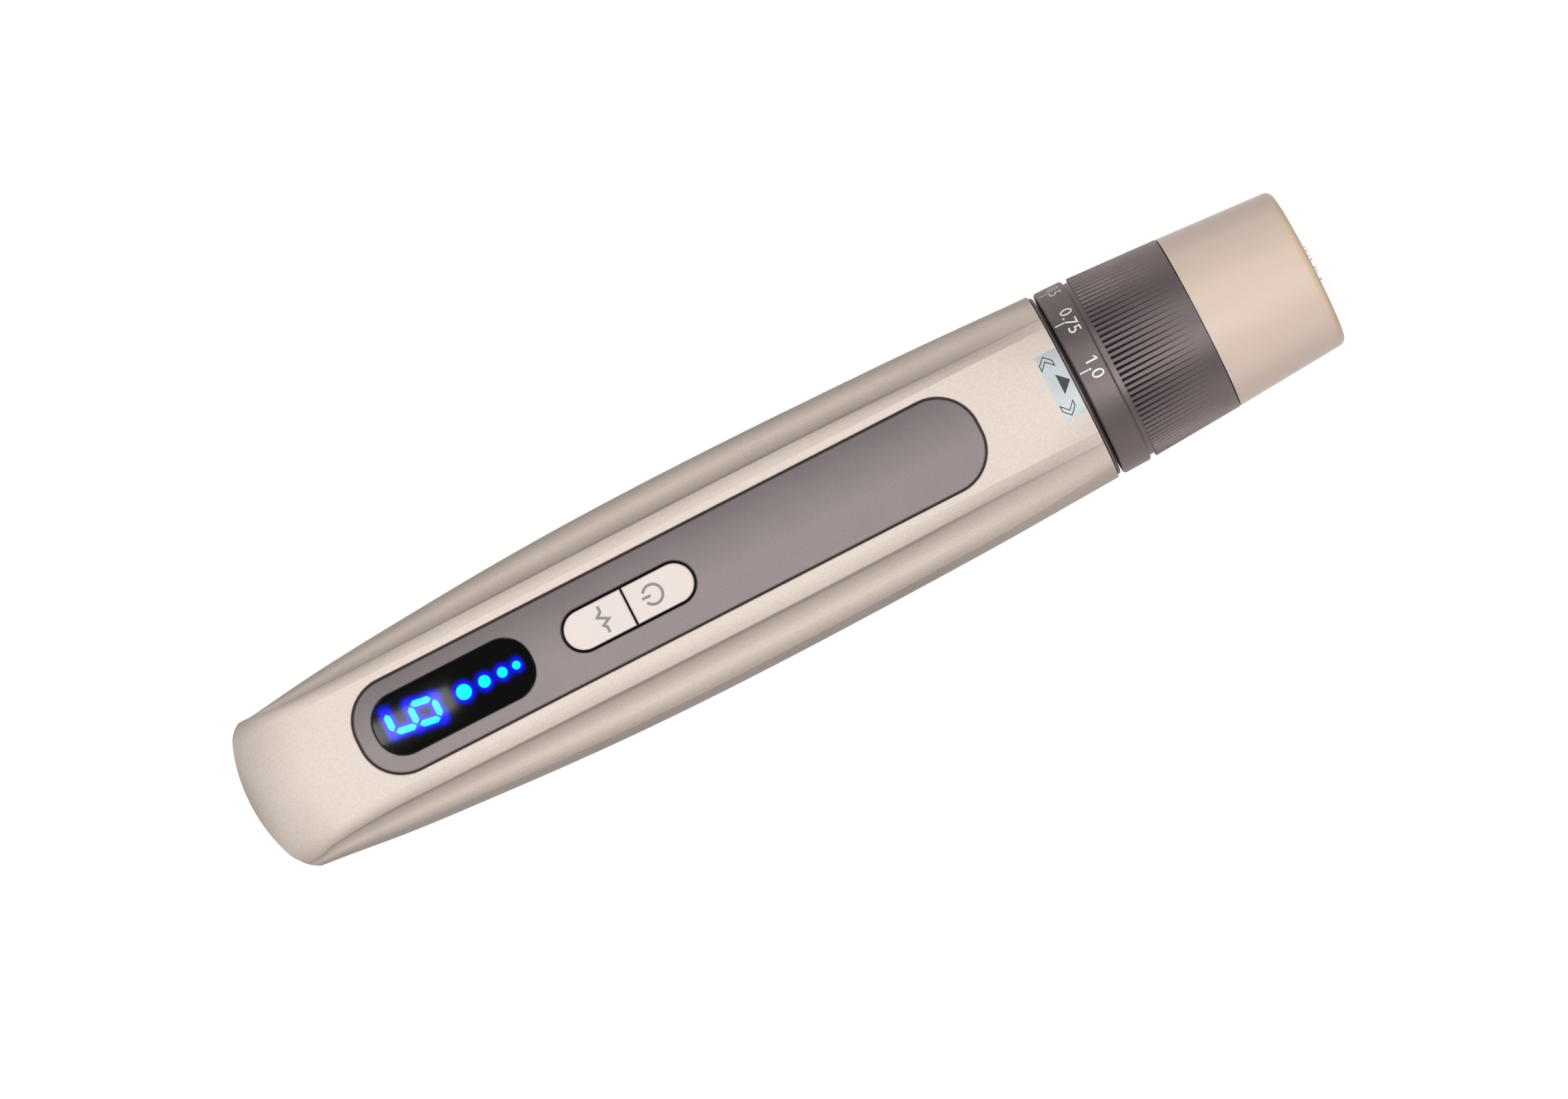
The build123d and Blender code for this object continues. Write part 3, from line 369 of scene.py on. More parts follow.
def strip(points, width, closed=False):
    """A flat line of this width through 2-D points, as (points, faces)."""
    sharpest = 0.4  # a corner's mitre is held back below this cosine
    count = len(points)
    corners = []
    for place, point in enumerate(points):
        here = Vector(point)
        before = Vector(points[place - 1]) if place or closed else None
        after = Vector(points[(place + 1) % count]) if place < count - 1 or closed else None
        back = (here - before).normalized() if before else (after - here).normalized()
        ahead = (after - here).normalized() if after else back
        bisector = (back + ahead).normalized()
        mitre = (width / 2) / max(sharpest, bisector.dot(ahead))
        side = Vector((-bisector.y, bisector.x)) * mitre
        corners += [here + side, here - side]
    joins = count if closed else count - 1
    faces = []
    for place in range(joins):
        a, b = 2 * place, 2 * ((place + 1) % count)
        faces.append((a, a + 1, b + 1, b))
    return corners, faces


def join(shapes):
    """Several (points, faces) as one."""
    points, faces = [], []
    for some_points, some_faces in shapes:
        faces += [tuple(corner + len(points) for corner in face) for face in some_faces]
        points += some_points
    return points, faces


# Operators, one for each group of pieces


class PEN_OT_housing(bpy.types.Operator):
    """Finishes the two shells"""

    bl_idname = "pen.housing"
    bl_label = "Housing"

    def execute(self, context):
        look = context.scene.pen_housing
        # ABS, moulded and sprayed with a pearl lacquer: satin, with a grain that catches the
        # light. The real grain is about half as wide and wouldn't show in the picture. Painted
        # shade and highlight are multiplied into its colour.
        lacquer = grained(
            "pearl_lacquered_abs", look.lacquer, look.grain, 0.47, 0.034 * MM,
            speckle=0.06, shade=self.painted_pearl_shade, Specular_IOR_Level=0.35,
        )
        dress(lacquer, "upper_shell", "lower_shell")
        return {"FINISHED"}

    def painted_pearl_shade(self, tree, place):
        """Painted shade and highlight for the pearl: dark in the crease, along the belt and at the
        tail's end, lighter on the ledge and a little way in from the tail.
        """
        axes = add(tree, "ShaderNodeSeparateXYZ", {0: place})
        along = add(
            tree, "ShaderNodeMapRange",
            {"Value": axes.outputs["X"], "From Min": SHELL_LOW.x, "From Max": SHELL_HIGH.x},
        ).outputs["Result"]
        side = add(
            tree, "ShaderNodeMath", {0: axes.outputs["Y"]}, operation="ABSOLUTE"
        ).outputs["Value"]
        side = add(
            tree, "ShaderNodeMath", {0: side, 1: SHELL_HIGH.y}, operation="DIVIDE"
        ).outputs["Value"]
        outline = add(tree, "ShaderNodeFloatCurve", {"Value": along})
        crease = add(tree, "ShaderNodeFloatCurve", {"Value": along})
        flank = add(tree, "ShaderNodeMapRange", {
            "Value": side, "From Min": crease.outputs[0], "From Max": outline.outputs[0],
            "To Min": 0.5, "To Max": 1.0,
        }, clamp=False).outputs["Result"]
        flank = add(tree, "ShaderNodeClamp", {"Value": flank}).outputs["Result"]
        tone = add(tree, "ShaderNodeFloatCurve", {"Value": flank})
        for node, points in (
            (outline, [(share, half) for share, half, _ in HOUSING_PLAN]),
            (crease, [(share, out) for share, _, out in HOUSING_PLAN]),
            (tone, PAINTED_SHADE_ACROSS),
        ):
            line = node.mapping.curves[0]
            line.points[0].location, line.points[-1].location = points[0], points[-1]
            for point in points[1:-1]:
                line.points.new(*point)
            node.mapping.update()
        tail = add(
            tree, "ShaderNodeMapRange",
            {"Value": axes.outputs["X"], "From Min": SHELL_LOW.x,
             "From Max": SHELL_LOW.x + TAIL_REACH,
             "To Min": TAIL_PAINTED_SHADE[0], "To Max": TAIL_PAINTED_SHADE[1]},
            interpolation_type="SMOOTHSTEP",
        ).outputs["Result"]
        tone = add(
            tree, "ShaderNodeMath", {0: tone.outputs[0], 1: tail}, operation="MULTIPLY"
        ).outputs["Value"]
        nose = add(
            tree, "ShaderNodeMapRange",
            {"Value": axes.outputs["X"], "From Min": SHELL_HIGH.x + NOSE_START,
             "From Max": SHELL_HIGH.x + NOSE_END, "To Min": 1.0, "To Max": NOSE_SHARE},
        ).outputs["Result"]
        height = add(
            tree, "ShaderNodeMapRange",
            {"Value": axes.outputs["Z"], "From Min": AXIS_Z + BELLY_DEPTH,
             "From Max": AXIS_Z + BELLY_TOP, "To Max": nose},
        ).outputs["Result"]
        return add(tree, "ShaderNodeMix", {0: height, 2: 1.0, 3: tone}).outputs[0]


class PEN_OT_control_panel(bpy.types.Operator):
    """Finishes the panel and its keys, and prints the icons"""

    bl_idname = "pen.control_panel"
    bl_label = "Control panel"

    def execute(self, context):
        look = context.scene.pen_panel
        # ABS, moulded with a fine spark-eroded texture and painted: a matt taupe, with painted
        # shade darkening it towards the far edge
        painted = grained(
            "painted_abs", look.panel, 0.2 * MM, 0.5, 0.006 * MM, speckle=0.07,
            shade=self.painted_shade_across,
        )
        # Silicone rubber, moulded and left dull: a dark brown line round the panel, and a darker
        # one round the keys, where it lies deeper; that darker colour is painted shade for the
        # deeper groove
        gasket = grained(
            "silicone_rubber", linear("#433836"), 0.2 * MM, 0.8, 0.003 * MM,
            Specular_IOR_Level=0.2,
        )
        keypad = grained(
            "silicone_keypad", linear("#1E1615"), 0.2 * MM, 0.8, 0.003 * MM,
            Specular_IOR_Level=0.2,
        )
        # ABS, moulded from polished steel and satin varnished: even and pale
        keycap = grained("varnished_abs", look.keys, 0.3 * MM, 0.38, 0.002 * MM, speckle=0.01)
        # Pad-printed ink: flat and dull on the varnish
        ink = grained("pad_printed_ink", look.icon, 0.15 * MM, 0.55, 0.001 * MM)
        dress(painted, "control_panel")
        dress(gasket, "panel_gasket")
        dress(keypad, "button_keypad")
        dress(keycap, "power_button", "mode_button")

        # The icons' middles lie this far in from the tail side of their keys
        power_in, pulse_in = 3.75 * MM, 6.2 * MM
        radius, gap, steps = 1.47 * MM, math.radians(30), 40
        turn = 2 * (math.pi - gap)
        sweep = [math.pi + gap + turn * step / steps for step in range(steps + 1)]
        ring = [(radius * math.cos(angle), radius * math.sin(angle)) for angle in sweep]
        bar = [(-1.7 * MM, 0), (-0.36 * MM, 0)]
        shapes = [strip(ring, look.icon_line), strip(bar, look.icon_line)]
        self.lay(shapes, "power_icon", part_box("power_button"), power_in, ink, "power_button")

        pulse = ((0, 2.1), (0, 1.2), (-0.75, 0.6), (0.75, -0.2),
                 (-0.4, -0.8), (0, -1.2), (0, -2.1))
        line = [(along * MM, across * MM) for along, across in pulse]
        shapes = [strip(line, look.icon_line)]
        self.lay(shapes, "pulse_icon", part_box("mode_button"), pulse_in, ink, "mode_button")
        return {"FINISHED"}

    def painted_shade_across(self, tree, place):
        """Painted shade: the colour full from the middle to the near side, half at the far edge.
        """
        fade_start = -1.5 * MM
        axes = add(tree, "ShaderNodeSeparateXYZ", {0: place})
        return add(
            tree, "ShaderNodeMapRange",
            {"Value": axes.outputs["Y"], "From Min": fade_start, "From Max": PANEL_HIGH.y,
             "To Min": 1.0, "To Max": 0.5},
        ).outputs["Result"]

    def lay(self, shapes, name, box, far_in, ink, key):
        """Lays flat shapes on a key's top, with their middle this far in from its tail side."""
        low, high = box
        middle = Vector((low.x + far_in, 0, high.z + INK_LIFT))
        points, faces = join(shapes)
        placed = [middle + Vector((point[0], point[1], 0)) for point in points]
        piece(name, placed, faces, ink, key, INK_FILM)


class PEN_OT_display(bpy.types.Operator):
    """Lights the digit and the row of dots behind the smoked window"""

    bl_idname = "pen.display"
    bl_label = "Display"

    def execute(self, context):
        look = context.scene.pen_display
        digit_in, digit_aside = 6.24 * MM, 0.33 * MM
        bars = self.bars(look, LENS_LOW.x + digit_in, digit_aside)
        dots = self.dots()

        # Cast acrylic, smoked and polished: clear enough for the light, dark where there is none
        wipe_width = 6 * MM
        lens, tree = blank("smoked_acrylic")
        place = add(tree, "ShaderNodeTexCoord").outputs["Object"]
        haze = add(
            tree, "ShaderNodeTexNoise", {"Vector": place, "Scale": 1 / wipe_width, "Detail": 2.0}
        ).outputs["Fac"]
        gloss = add(
            tree, "ShaderNodeMapRange", {"Value": haze, "To Min": 0.018, "To Max": 0.026}
        ).outputs["Result"]
        glass = add(tree, "ShaderNodeBsdfPrincipled", {
            "Base Color": linear("#50525A"), "Roughness": gloss, "IOR": 1.49,
            "Transmission Weight": 1.0,
        }).outputs["BSDF"]
        add(tree, "ShaderNodeOutputMaterial", {"Surface": glass})
        dress(lens, "display_lens")
        dress(self.glow(look, bars, dots), "display_module")

        # Light-emitting diodes under a diffusing film: even, with no hot spot
        film_grain = 0.4 * MM
        lit, tree = blank("lit_diffuser")
        place = add(tree, "ShaderNodeTexCoord").outputs["Object"]
        speckle = add(
            tree, "ShaderNodeTexNoise", {"Vector": place, "Scale": 1 / film_grain}
        ).outputs["Fac"]
        power = add(
            tree, "ShaderNodeMapRange", {"Value": speckle, "To Min": 13.0, "To Max": 14.0}
        ).outputs["Result"]
        lamp = add(tree, "ShaderNodeBsdfPrincipled", {
            "Base Color": rgba(look.lit), "Roughness": 0.5,
            "Emission Color": rgba(look.lit), "Emission Strength": power,
        }).outputs["BSDF"]
        add(tree, "ShaderNodeOutputMaterial", {"Surface": lamp})
        dress(lit, "indicator_leds")

        height, thickness = MODULE_HIGH.z + 0.02 * MM, 0.06 * MM
        points, faces = join([self.segment(look, start, end) for start, end in bars])
        raised = [Vector((point[0], point[1], height)) for point in points]
        piece("digit", raised, faces, lit, "housing", thickness)
        return {"FINISHED"}

    def bars(self, look, along, across):
        """The lit bars of a digit round this middle, from end to end. Its top is at the tail."""
        up, out = look.digit_height / 2, look.digit_width / 2
        slant = 0.163
        corner = {
            (x, y): Vector((along + x * up, across + y * out - slant * x * up))
            for x in (-1, 0, 1) for y in (-1, 1)
        }
        lit = [((-1, 1), (-1, -1)), ((-1, -1), (0, -1)), ((0, 1), (0, -1)),
               ((0, 1), (1, 1)), ((0, -1), (1, -1)), ((1, 1), (1, -1))]
        return [(corner[start], corner[end]) for start, end in lit]

    def segment(self, look, start, end):
        """One bar with pointed ends, which stop short of its neighbours."""
        half, gap = look.segment / 2, look.segment_gap
        ahead = (end - start).normalized()
        side = Vector((-ahead.y, ahead.x)) * half
        tip, shoulder = ahead * gap, ahead * (gap + half)
        points = [start + tip, start + shoulder + side, end - shoulder + side,
                  end - tip, end - shoulder - side, start + shoulder - side]
        return points, [tuple(range(6))[::-1]]

    def dots(self):
        """The middle and radius of each light in the row, read from the frame."""
        exact = 7  # decimals of a metre that tell two lights apart
        work = bmesh.new()
        work.from_mesh(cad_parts["indicator_leds"].data)
        left, found = set(work.verts), []
        while left:
            group, grow = [], [left.pop()]
            while grow:
                vert = grow.pop()
                group.append(vert.co.copy())
                for edge in vert.link_edges:
                    other = edge.other_vert(vert)
                    if other in left:
                        left.discard(other)
                        grow.append(other)
            low, high = min(p.x for p in group), max(p.x for p in group)
            found.append((round((low + high) / 2, exact), round((high - low) / 2, exact)))
        work.free()
        return sorted(set(found))

    def glow(self, look, bars, dots):
        """The module's face: black, with light that falls off around the bars and dots."""
        # Black moulded frame under a diffusing film: light creeps out round each bar and dot
        blend, falloff, brightness = 0.8 * MM, 2.6, 10.0
        material, tree = blank("backlit_film")
        place = add(tree, "ShaderNodeTexCoord").outputs["Object"]
        flat = add(
            tree, "ShaderNodeVectorMath", {0: place, 1: (1.0, 1.0, 0.0)}, operation="MULTIPLY"
        ).outputs["Vector"]
        nearest = None
        rows = [(start, end, look.segment / 2) for start, end in bars]
        rows += [(Vector((x, 0)), Vector((x, 0)), radius) for x, radius in dots]
        for start, end, radius in rows:
            run = (end - start).to_3d()
            away = add(
                tree, "ShaderNodeVectorMath", {0: flat, 1: start.to_3d()}, operation="SUBTRACT"
            ).outputs["Vector"]
            if run.length:
                share = add(
                    tree, "ShaderNodeVectorMath", {0: away, 1: run / run.length_squared},
                    operation="DOT_PRODUCT",
                ).outputs["Value"]
                held = add(tree, "ShaderNodeClamp", {"Value": share}).outputs["Result"]
                step = add(
                    tree, "ShaderNodeVectorMath", {0: run, "Scale": held}, operation="SCALE"
                ).outputs["Vector"]
                away = add(
                    tree, "ShaderNodeVectorMath", {0: away, 1: step}, operation="SUBTRACT"
                ).outputs["Vector"]
            far = add(
                tree, "ShaderNodeVectorMath", {0: away}, operation="LENGTH"
            ).outputs["Value"]
            far = add(
                tree, "ShaderNodeMath", {0: far, 1: radius}, operation="SUBTRACT"
            ).outputs["Value"]
            if nearest is not None:
                far = add(
                    tree, "ShaderNodeMath", {0: nearest, 1: far, 2: blend},
                    operation="SMOOTH_MIN",
                ).outputs["Value"]
            nearest = far
        fade = add(
            tree, "ShaderNodeMapRange",
            {"Value": nearest, "From Min": 0.0, "From Max": look.halo_reach,
             "To Min": 1.0, "To Max": 0.0},
            interpolation_type="SMOOTHSTEP",
        ).outputs["Result"]
        power = add(
            tree, "ShaderNodeMath", {0: fade, 1: falloff}, operation="POWER"
        ).outputs["Value"]
        strength = add(
            tree, "ShaderNodeMath", {0: power, 1: brightness}, operation="MULTIPLY"
        ).outputs["Value"]
        film = add(tree, "ShaderNodeBsdfPrincipled", {
            "Base Color": linear("#0B0B0D"), "Roughness": 0.6,
            "Emission Color": rgba(look.halo), "Emission Strength": strength,
        }).outputs["BSDF"]
        add(tree, "ShaderNodeOutputMaterial", {"Surface": film})
        return material


class PEN_OT_depth_dial(bpy.types.Operator):
    """Finishes the dial, its ribbed grip and the ring beside it, and prints the scale"""

    bl_idname = "pen.depth_dial"
    bl_label = "Depth dial"

    def execute(self, context):
        look = context.scene.pen_dial
        # Aluminium, turned, bead blasted and anodised taupe: dark and satin, with a fine grain
        anodised = grained(
            "anodised_aluminium", look.metal, 0.22 * MM, 0.46, 0.004 * MM, metallic=0.55
        )
        # Screen-printed ink, cured hard: white and slightly raised
        ink = grained(
            "screen_printed_ink", look.ink, 0.15 * MM, 0.5, 0.001 * MM, speckle=0.01
        )
        dress(anodised, "depth_dial", "nose_trim_ring")
        # The same, knurled: painted shade darkens the grooves and a painted highlight lightens the
        # ribs
        knurled = grained(
            "knurled_anodised_aluminium", look.metal, 0.22 * MM, 0.44, 0.004 * MM,
            metallic=0.55, shade=self.painted_groove_shade,
        )
        dress(knurled, "grip_ring")

        shell = surface_of("depth_dial")
        tick_width, thickness = 0.2 * MM, 0.02 * MM
        tick_start, tick_end, numeral_start = (
            DIAL_LOW.x + far * MM for far in (0.35, 1.8, 1.87)
        )
        for place, reading in enumerate(("1.0", "0.75", "0.5", "0.25", "0")):
            tick = strip([(0, tick_start), (0, tick_end)], tick_width)
            points, faces = join([tick, self.numerals(reading, look.numeral, numeral_start)])
            placed = [self.wrap(shell, point, look.step * place) for point in points]
            name = "scale_" + reading.replace(".", "_")
            piece(name, placed, faces, ink, "dial", thickness)
        return {"FINISHED"}

    def painted_groove_shade(self, tree, place):
        """Painted light on the grip: a painted highlight on the ribs and painted shade between
        them.
        """
        taper = 0.8 * MM
        rib_depth, groove_depth = 0.02 * MM, 0.26 * MM
        rib_highlight, groove_shade = 1.08, 0.35
        axes = add(tree, "ShaderNodeSeparateXYZ", {0: place})
        radius = GRIP_HIGH.z - AXIS_Z
        cone = add(
            tree, "ShaderNodeMapRange",
            {"Value": axes.outputs["X"], "From Min": GRIP_LOW.x, "From Max": GRIP_HIGH.x,
             "To Min": radius, "To Max": radius - taper},
        ).outputs["Result"]
        across = add(
            tree, "ShaderNodeVectorMath", {0: place, 1: (0.0, 1.0, 1.0), 2: (0.0, 0.0, -AXIS_Z)},
            operation="MULTIPLY_ADD",
        ).outputs["Vector"]
        out = add(tree, "ShaderNodeVectorMath", {0: across}, operation="LENGTH").outputs["Value"]
        depth = add(
            tree, "ShaderNodeMath", {0: cone, 1: out}, operation="SUBTRACT"
        ).outputs["Value"]
        return add(
            tree, "ShaderNodeMapRange",
            {"Value": depth, "From Min": rib_depth, "From Max": groove_depth,
             "To Min": rib_highlight, "To Max": groove_shade},
        ).outputs["Result"]

    def numerals(self, text, height, start):
        """A number's outline as (points, faces): across the pen, then along it."""
        numeral_share = 0.72  # a numeral's height in the font's size
        stretch = 1.06
        flag = ((0, 0), (0.42, 0.3), (0.42, 0.58), (0, 0.28))
        curve = bpy.data.curves.new("numerals", "FONT")
        curve.body = text
        curve.align_x = "CENTER"
        curve.size = height / numeral_share
        curve.resolution_u = 6
        holder = bpy.data.objects.new("numerals", curve)
        bpy.context.scene.collection.objects.link(holder)
        bpy.context.view_layer.update()
        mesh = bpy.data.meshes.new_from_object(
            holder.evaluated_get(bpy.context.evaluated_depsgraph_get())
        )
        points = [Vector((v.co.x * stretch, start + v.co.y)) for v in mesh.vertices]
        faces = [tuple(p.vertices) for p in mesh.polygons]
        if text.startswith("1"):
            # The built-in font's 1 is a plain bar, so it gets its flag here
            left = min(p.x for p in points)
            top = max(p.y for p in points if p.x < left + 0.01 * MM)
            faces.append(tuple(range(len(points), len(points) + 4)))
            points += [Vector((left - out * MM, top - drop * MM)) for out, drop in flag]
        bpy.data.objects.remove(holder)
        bpy.data.curves.remove(curve)
        bpy.data.meshes.remove(mesh)
        return points, faces

    def wrap(self, shell, point, angle):
        """Lays a point (across, along) on the dial, around from the top by angle."""
        radius = DIAL_HIGH.z - AXIS_Z
        turn = angle - point[0] / radius
        out = Vector((0, math.sin(turn), math.cos(turn)))
        far = Vector((point[1], 0, AXIS_Z)) + out * 2 * radius
        hit = shell.ray_cast(far, -out)[0]
        return hit + out * INK_LIFT


class PEN_OT_pointer_label(bpy.types.Operator):
    """Sticks the silver label with its pointer beside the scale"""

    bl_idname = "pen.pointer_label"
    bl_label = "Pointer label"

    def execute(self, context):
        shell = surface_of("upper_shell")
        # Polyester film, silver backed and die cut: smooth, slightly bright
        film = grained(
            "silvered_polyester_film", linear("#BFC6C8"), 0.3 * MM, 0.4, 0.001 * MM,
            metallic=0.1, speckle=0.02,
        )
        ink = grained("flexo_printed_ink", linear("#2B2A2C"), 0.15 * MM, 0.5, 0.001 * MM)
        front = SHELL_HIGH.x - 0.08 * MM
        rear = front - 3.5 * MM
        half = 5.13 * MM
        under, thickness = 0.02 * MM, 0.03 * MM
        points, faces = self.grid(rear, front, half, half, 10, 28)
        placed = [self.down(shell, point, under) for point in points]
        piece("pointer_label", placed, faces, film, "housing", thickness)

        # The pointer narrows towards the dial, to a tip of almost no width
        apex = front - 0.2 * MM
        base = apex - 1.6 * MM
        foot, tip = 1.62 * MM, 0.0324 * MM
        shapes = [self.grid(base, apex, foot, tip, 8, 8)]
        chevron_line = 0.15 * MM
        chevron = ((-1.47, 3.68), (-0.45, 4.7), (0.57, 3.64),
                   (0.57, 2.86), (-0.45, 3.94), (-1.47, 2.86))
        for side in (-1, 1):
            outline = [(base + along * MM, side * out * MM) for along, out in chevron]
            shapes.append(strip(outline, chevron_line, closed=True))
        points, faces = join([self.fine(shape) for shape in shapes])
        placed = [self.down(shell, point, under + thickness + INK_LIFT) for point in points]
        piece("pointer_print", placed, faces, ink, "housing", INK_FILM)
        return {"FINISHED"}

    def grid(self, rear, front, rear_half, front_half, rows, columns):
        """A flat field of small faces, so that it can follow the shell. It may narrow."""
        points, faces = [], []
        for row in range(rows + 1):
            share = row / rows
            half = rear_half + (front_half - rear_half) * share
            for column in range(columns + 1):
                across = (2 * column / columns - 1) * half
                points.append(Vector((rear + (front - rear) * share, across)))
        for row in range(rows):
            for column in range(columns):
                a = row * (columns + 1) + column
                faces.append((a, a + columns + 1, a + columns + 2, a + 1))
        return points, faces

    def fine(self, shape):
        """The same shape with shorter edges."""
        work = bmesh.new()
        points, faces = shape
        verts = [work.verts.new((p[0], p[1], 0)) for p in points]
        for face in faces:
            work.faces.new([verts[corner] for corner in face])
        bmesh.ops.subdivide_edges(work, edges=work.edges[:], cuts=2, use_grid_fill=True)
        work.verts.index_update()
        result = (
            [Vector((v.co.x, v.co.y)) for v in work.verts],
            [tuple(v.index for v in f.verts) for f in work.faces],
        )
        work.free()
        return result

    def down(self, shell, point, lift):
        """The place on the shell's top under a point (along, across), lifted off it."""
        above = Vector((point[0], point[1], 2 * SHELL_HIGH.z))
        hit, normal, _, _ = shell.ray_cast(above, Vector((0, 0, -1)))
        return hit + normal * lift


class PEN_OT_cartridge(bpy.types.Operator):
    """Finishes the translucent cartridge, its face and its needles"""

    bl_idname = "pen.cartridge"
    bl_label = "Cartridge"

    def execute(self, context):
        look = context.scene.pen_cartridge
        # Copolyester, moulded and satin: light passes in a little and comes out warm. The warmer,
        # lighter colour at the thin front edge is painted light. Faint streaks run along it, as
        # the resin flowed
        streak_long, streak_wide = 50 / 3 * MM, 10 / 7 * MM
        edge_start, edge_full = -1.5 * MM, -0.4 * MM
        material, tree = blank("translucent_copolyester")
        place = add(tree, "ShaderNodeTexCoord").outputs["Object"]
        drawn = add(
            tree, "ShaderNodeMapping",
            {"Vector": place, "Scale": (1 / streak_long, 1 / streak_wide, 1 / streak_wide)},
        ).outputs["Vector"]
        streak = add(
            tree, "ShaderNodeTexNoise", {"Vector": drawn, "Scale": 1.0, "Detail": 2.0}
        ).outputs["Fac"]
        tone = add(
            tree, "ShaderNodeMapRange",
            {"Value": streak, "From Min": NOISE_LOW, "From Max": NOISE_HIGH,
             "To Min": 0.99, "To Max": 1.01},
        ).outputs["Result"]
        along = add(tree, "ShaderNodeSeparateXYZ", {0: place}).outputs["X"]
        rim_light_mask = add(
            tree, "ShaderNodeMapRange",
            {"Value": along, "From Min": FACE_HIGH.x + edge_start,
             "From Max": FACE_HIGH.x + edge_full},
        ).outputs["Result"]
        painted_rim_light = add(
            tree, "ShaderNodeMix", {0: rim_light_mask, 6: rgba(look.resin), 7: rgba(look.rim)},
            data_type="RGBA",
        ).outputs[2]
        colour = add(
            tree, "ShaderNodeVectorMath", {0: painted_rim_light, "Scale": tone}, operation="SCALE"
        ).outputs["Vector"]
        gloss = add(
            tree, "ShaderNodeMapRange",
            {"Value": streak, "From Min": NOISE_LOW, "From Max": NOISE_HIGH,
             "To Min": 0.285, "To Max": 0.295},
        ).outputs["Result"]
        resin = add(tree, "ShaderNodeBsdfPrincipled", {
            "Base Color": colour, "Roughness": gloss, "IOR": 1.57,
            "Subsurface Weight": 0.35, "Subsurface Radius": (1.0, 0.55, 0.35),
            "Subsurface Scale": 1.2 * MM,
        }).outputs["BSDF"]
        add(tree, "ShaderNodeOutputMaterial", {"Surface": resin})
        dress(material, "cartridge_shell", "cartridge_face")
        # Acetal, moulded and left milky: it lets no detail through
        acetal = grained(
            "milky_acetal", linear("#E6DDD3"), 0.3 * MM, 0.4, 0.002 * MM, speckle=0.02
        )
        dress(acetal, "cartridge_guide", "needle_hub", "carriage", "drive_rod", "drive_cam")
        # Brass, stamped, nickel plated and polished: a pale, slightly warm mirror
        contact = turned("plated_contact", linear("#CFC6B8"), 0.1 * MM, 0.2)
        dress(contact, "electrodes")
        # Surgical steel, drawn and electropolished
        needle = turned("drawn_steel", linear("#D6D8DA"), 0.05 * MM, 0.22)
        dress(needle, "needles", "hub_spring", "rod_spring")
        return {"FINISHED"}


class PEN_OT_mechanism(bpy.types.Operator):
    """Finishes the motor, the drive, the seals and the metal parts inside"""

    bl_idname = "pen.mechanism"
    bl_label = "Mechanism"

    def execute(self, context):
        # Steel sheet, deep drawn and nickel plated: a soft sheen with lines from the draw
        plated = turned("nickel_plated_steel", linear("#C4C2BD"), 0.12 * MM, 0.3)
        dress(plated, "motor_can", "motor_screws", "board_screws", "cam_set_screw",
              "charging_socket", "dial_retaining_ring")
        # Steel bar, ground bright
        ground = turned("ground_steel", linear("#CDCFD0"), 0.06 * MM, 0.2)
        dress(ground, "motor_shaft", "guide_pins")
        # Brass, turned: warm, with fine rings
        brass = turned("turned_brass", linear("#C9A662"), 0.08 * MM, 0.28)
        dress(brass, "rod_bush")
        # Glass-filled nylon, moulded dark: dull, with a faint flow of fibres
        nylon = grained("glass_filled_nylon", linear("#2E2A2A"), 0.3 * MM, 0.55, 0.006 * MM)
        dress(nylon, "nose_barrel", "motor_mount", "motor_end_cap", "battery_cradle")
        # Nitrile rubber, moulded: dull black
        nitrile = grained("nitrile_rubber", linear("#1D1B1B"), 0.2 * MM, 0.6, 0.003 * MM)
        dress(nitrile, "rod_seal", "friction_ring", "cartridge_o_ring")
        return {"FINISHED"}


class PEN_OT_electronics(bpy.types.Operator):
    """Finishes the boards, the switches and the cell"""

    bl_idname = "pen.electronics"
    bl_label = "Electronics"

    def execute(self, context):
        # Glass epoxy board under green solder mask: smooth, with the weave just showing
        mask = grained(
            "solder_masked_epoxy", linear("#1C5A3A"), 0.5 * MM, 0.35, 0.004 * MM, speckle=0.1
        )
        dress(mask, "main_board", "charging_board")
        # Polyamide switch bodies, moulded black
        body = grained("polyamide", linear("#242426"), 0.2 * MM, 0.5, 0.003 * MM)
        dress(body, "tact_switches")
        # Shrink sleeve of PVC, drawn tight over the steel can: glossy blue
        sleeve = grained(
            "shrink_sleeve", linear("#2F5B9C"), 0.8 * MM, 0.25, 0.004 * MM, speckle=0.03
        )
        dress(sleeve, "battery_cell")
        return {"FINISHED"}


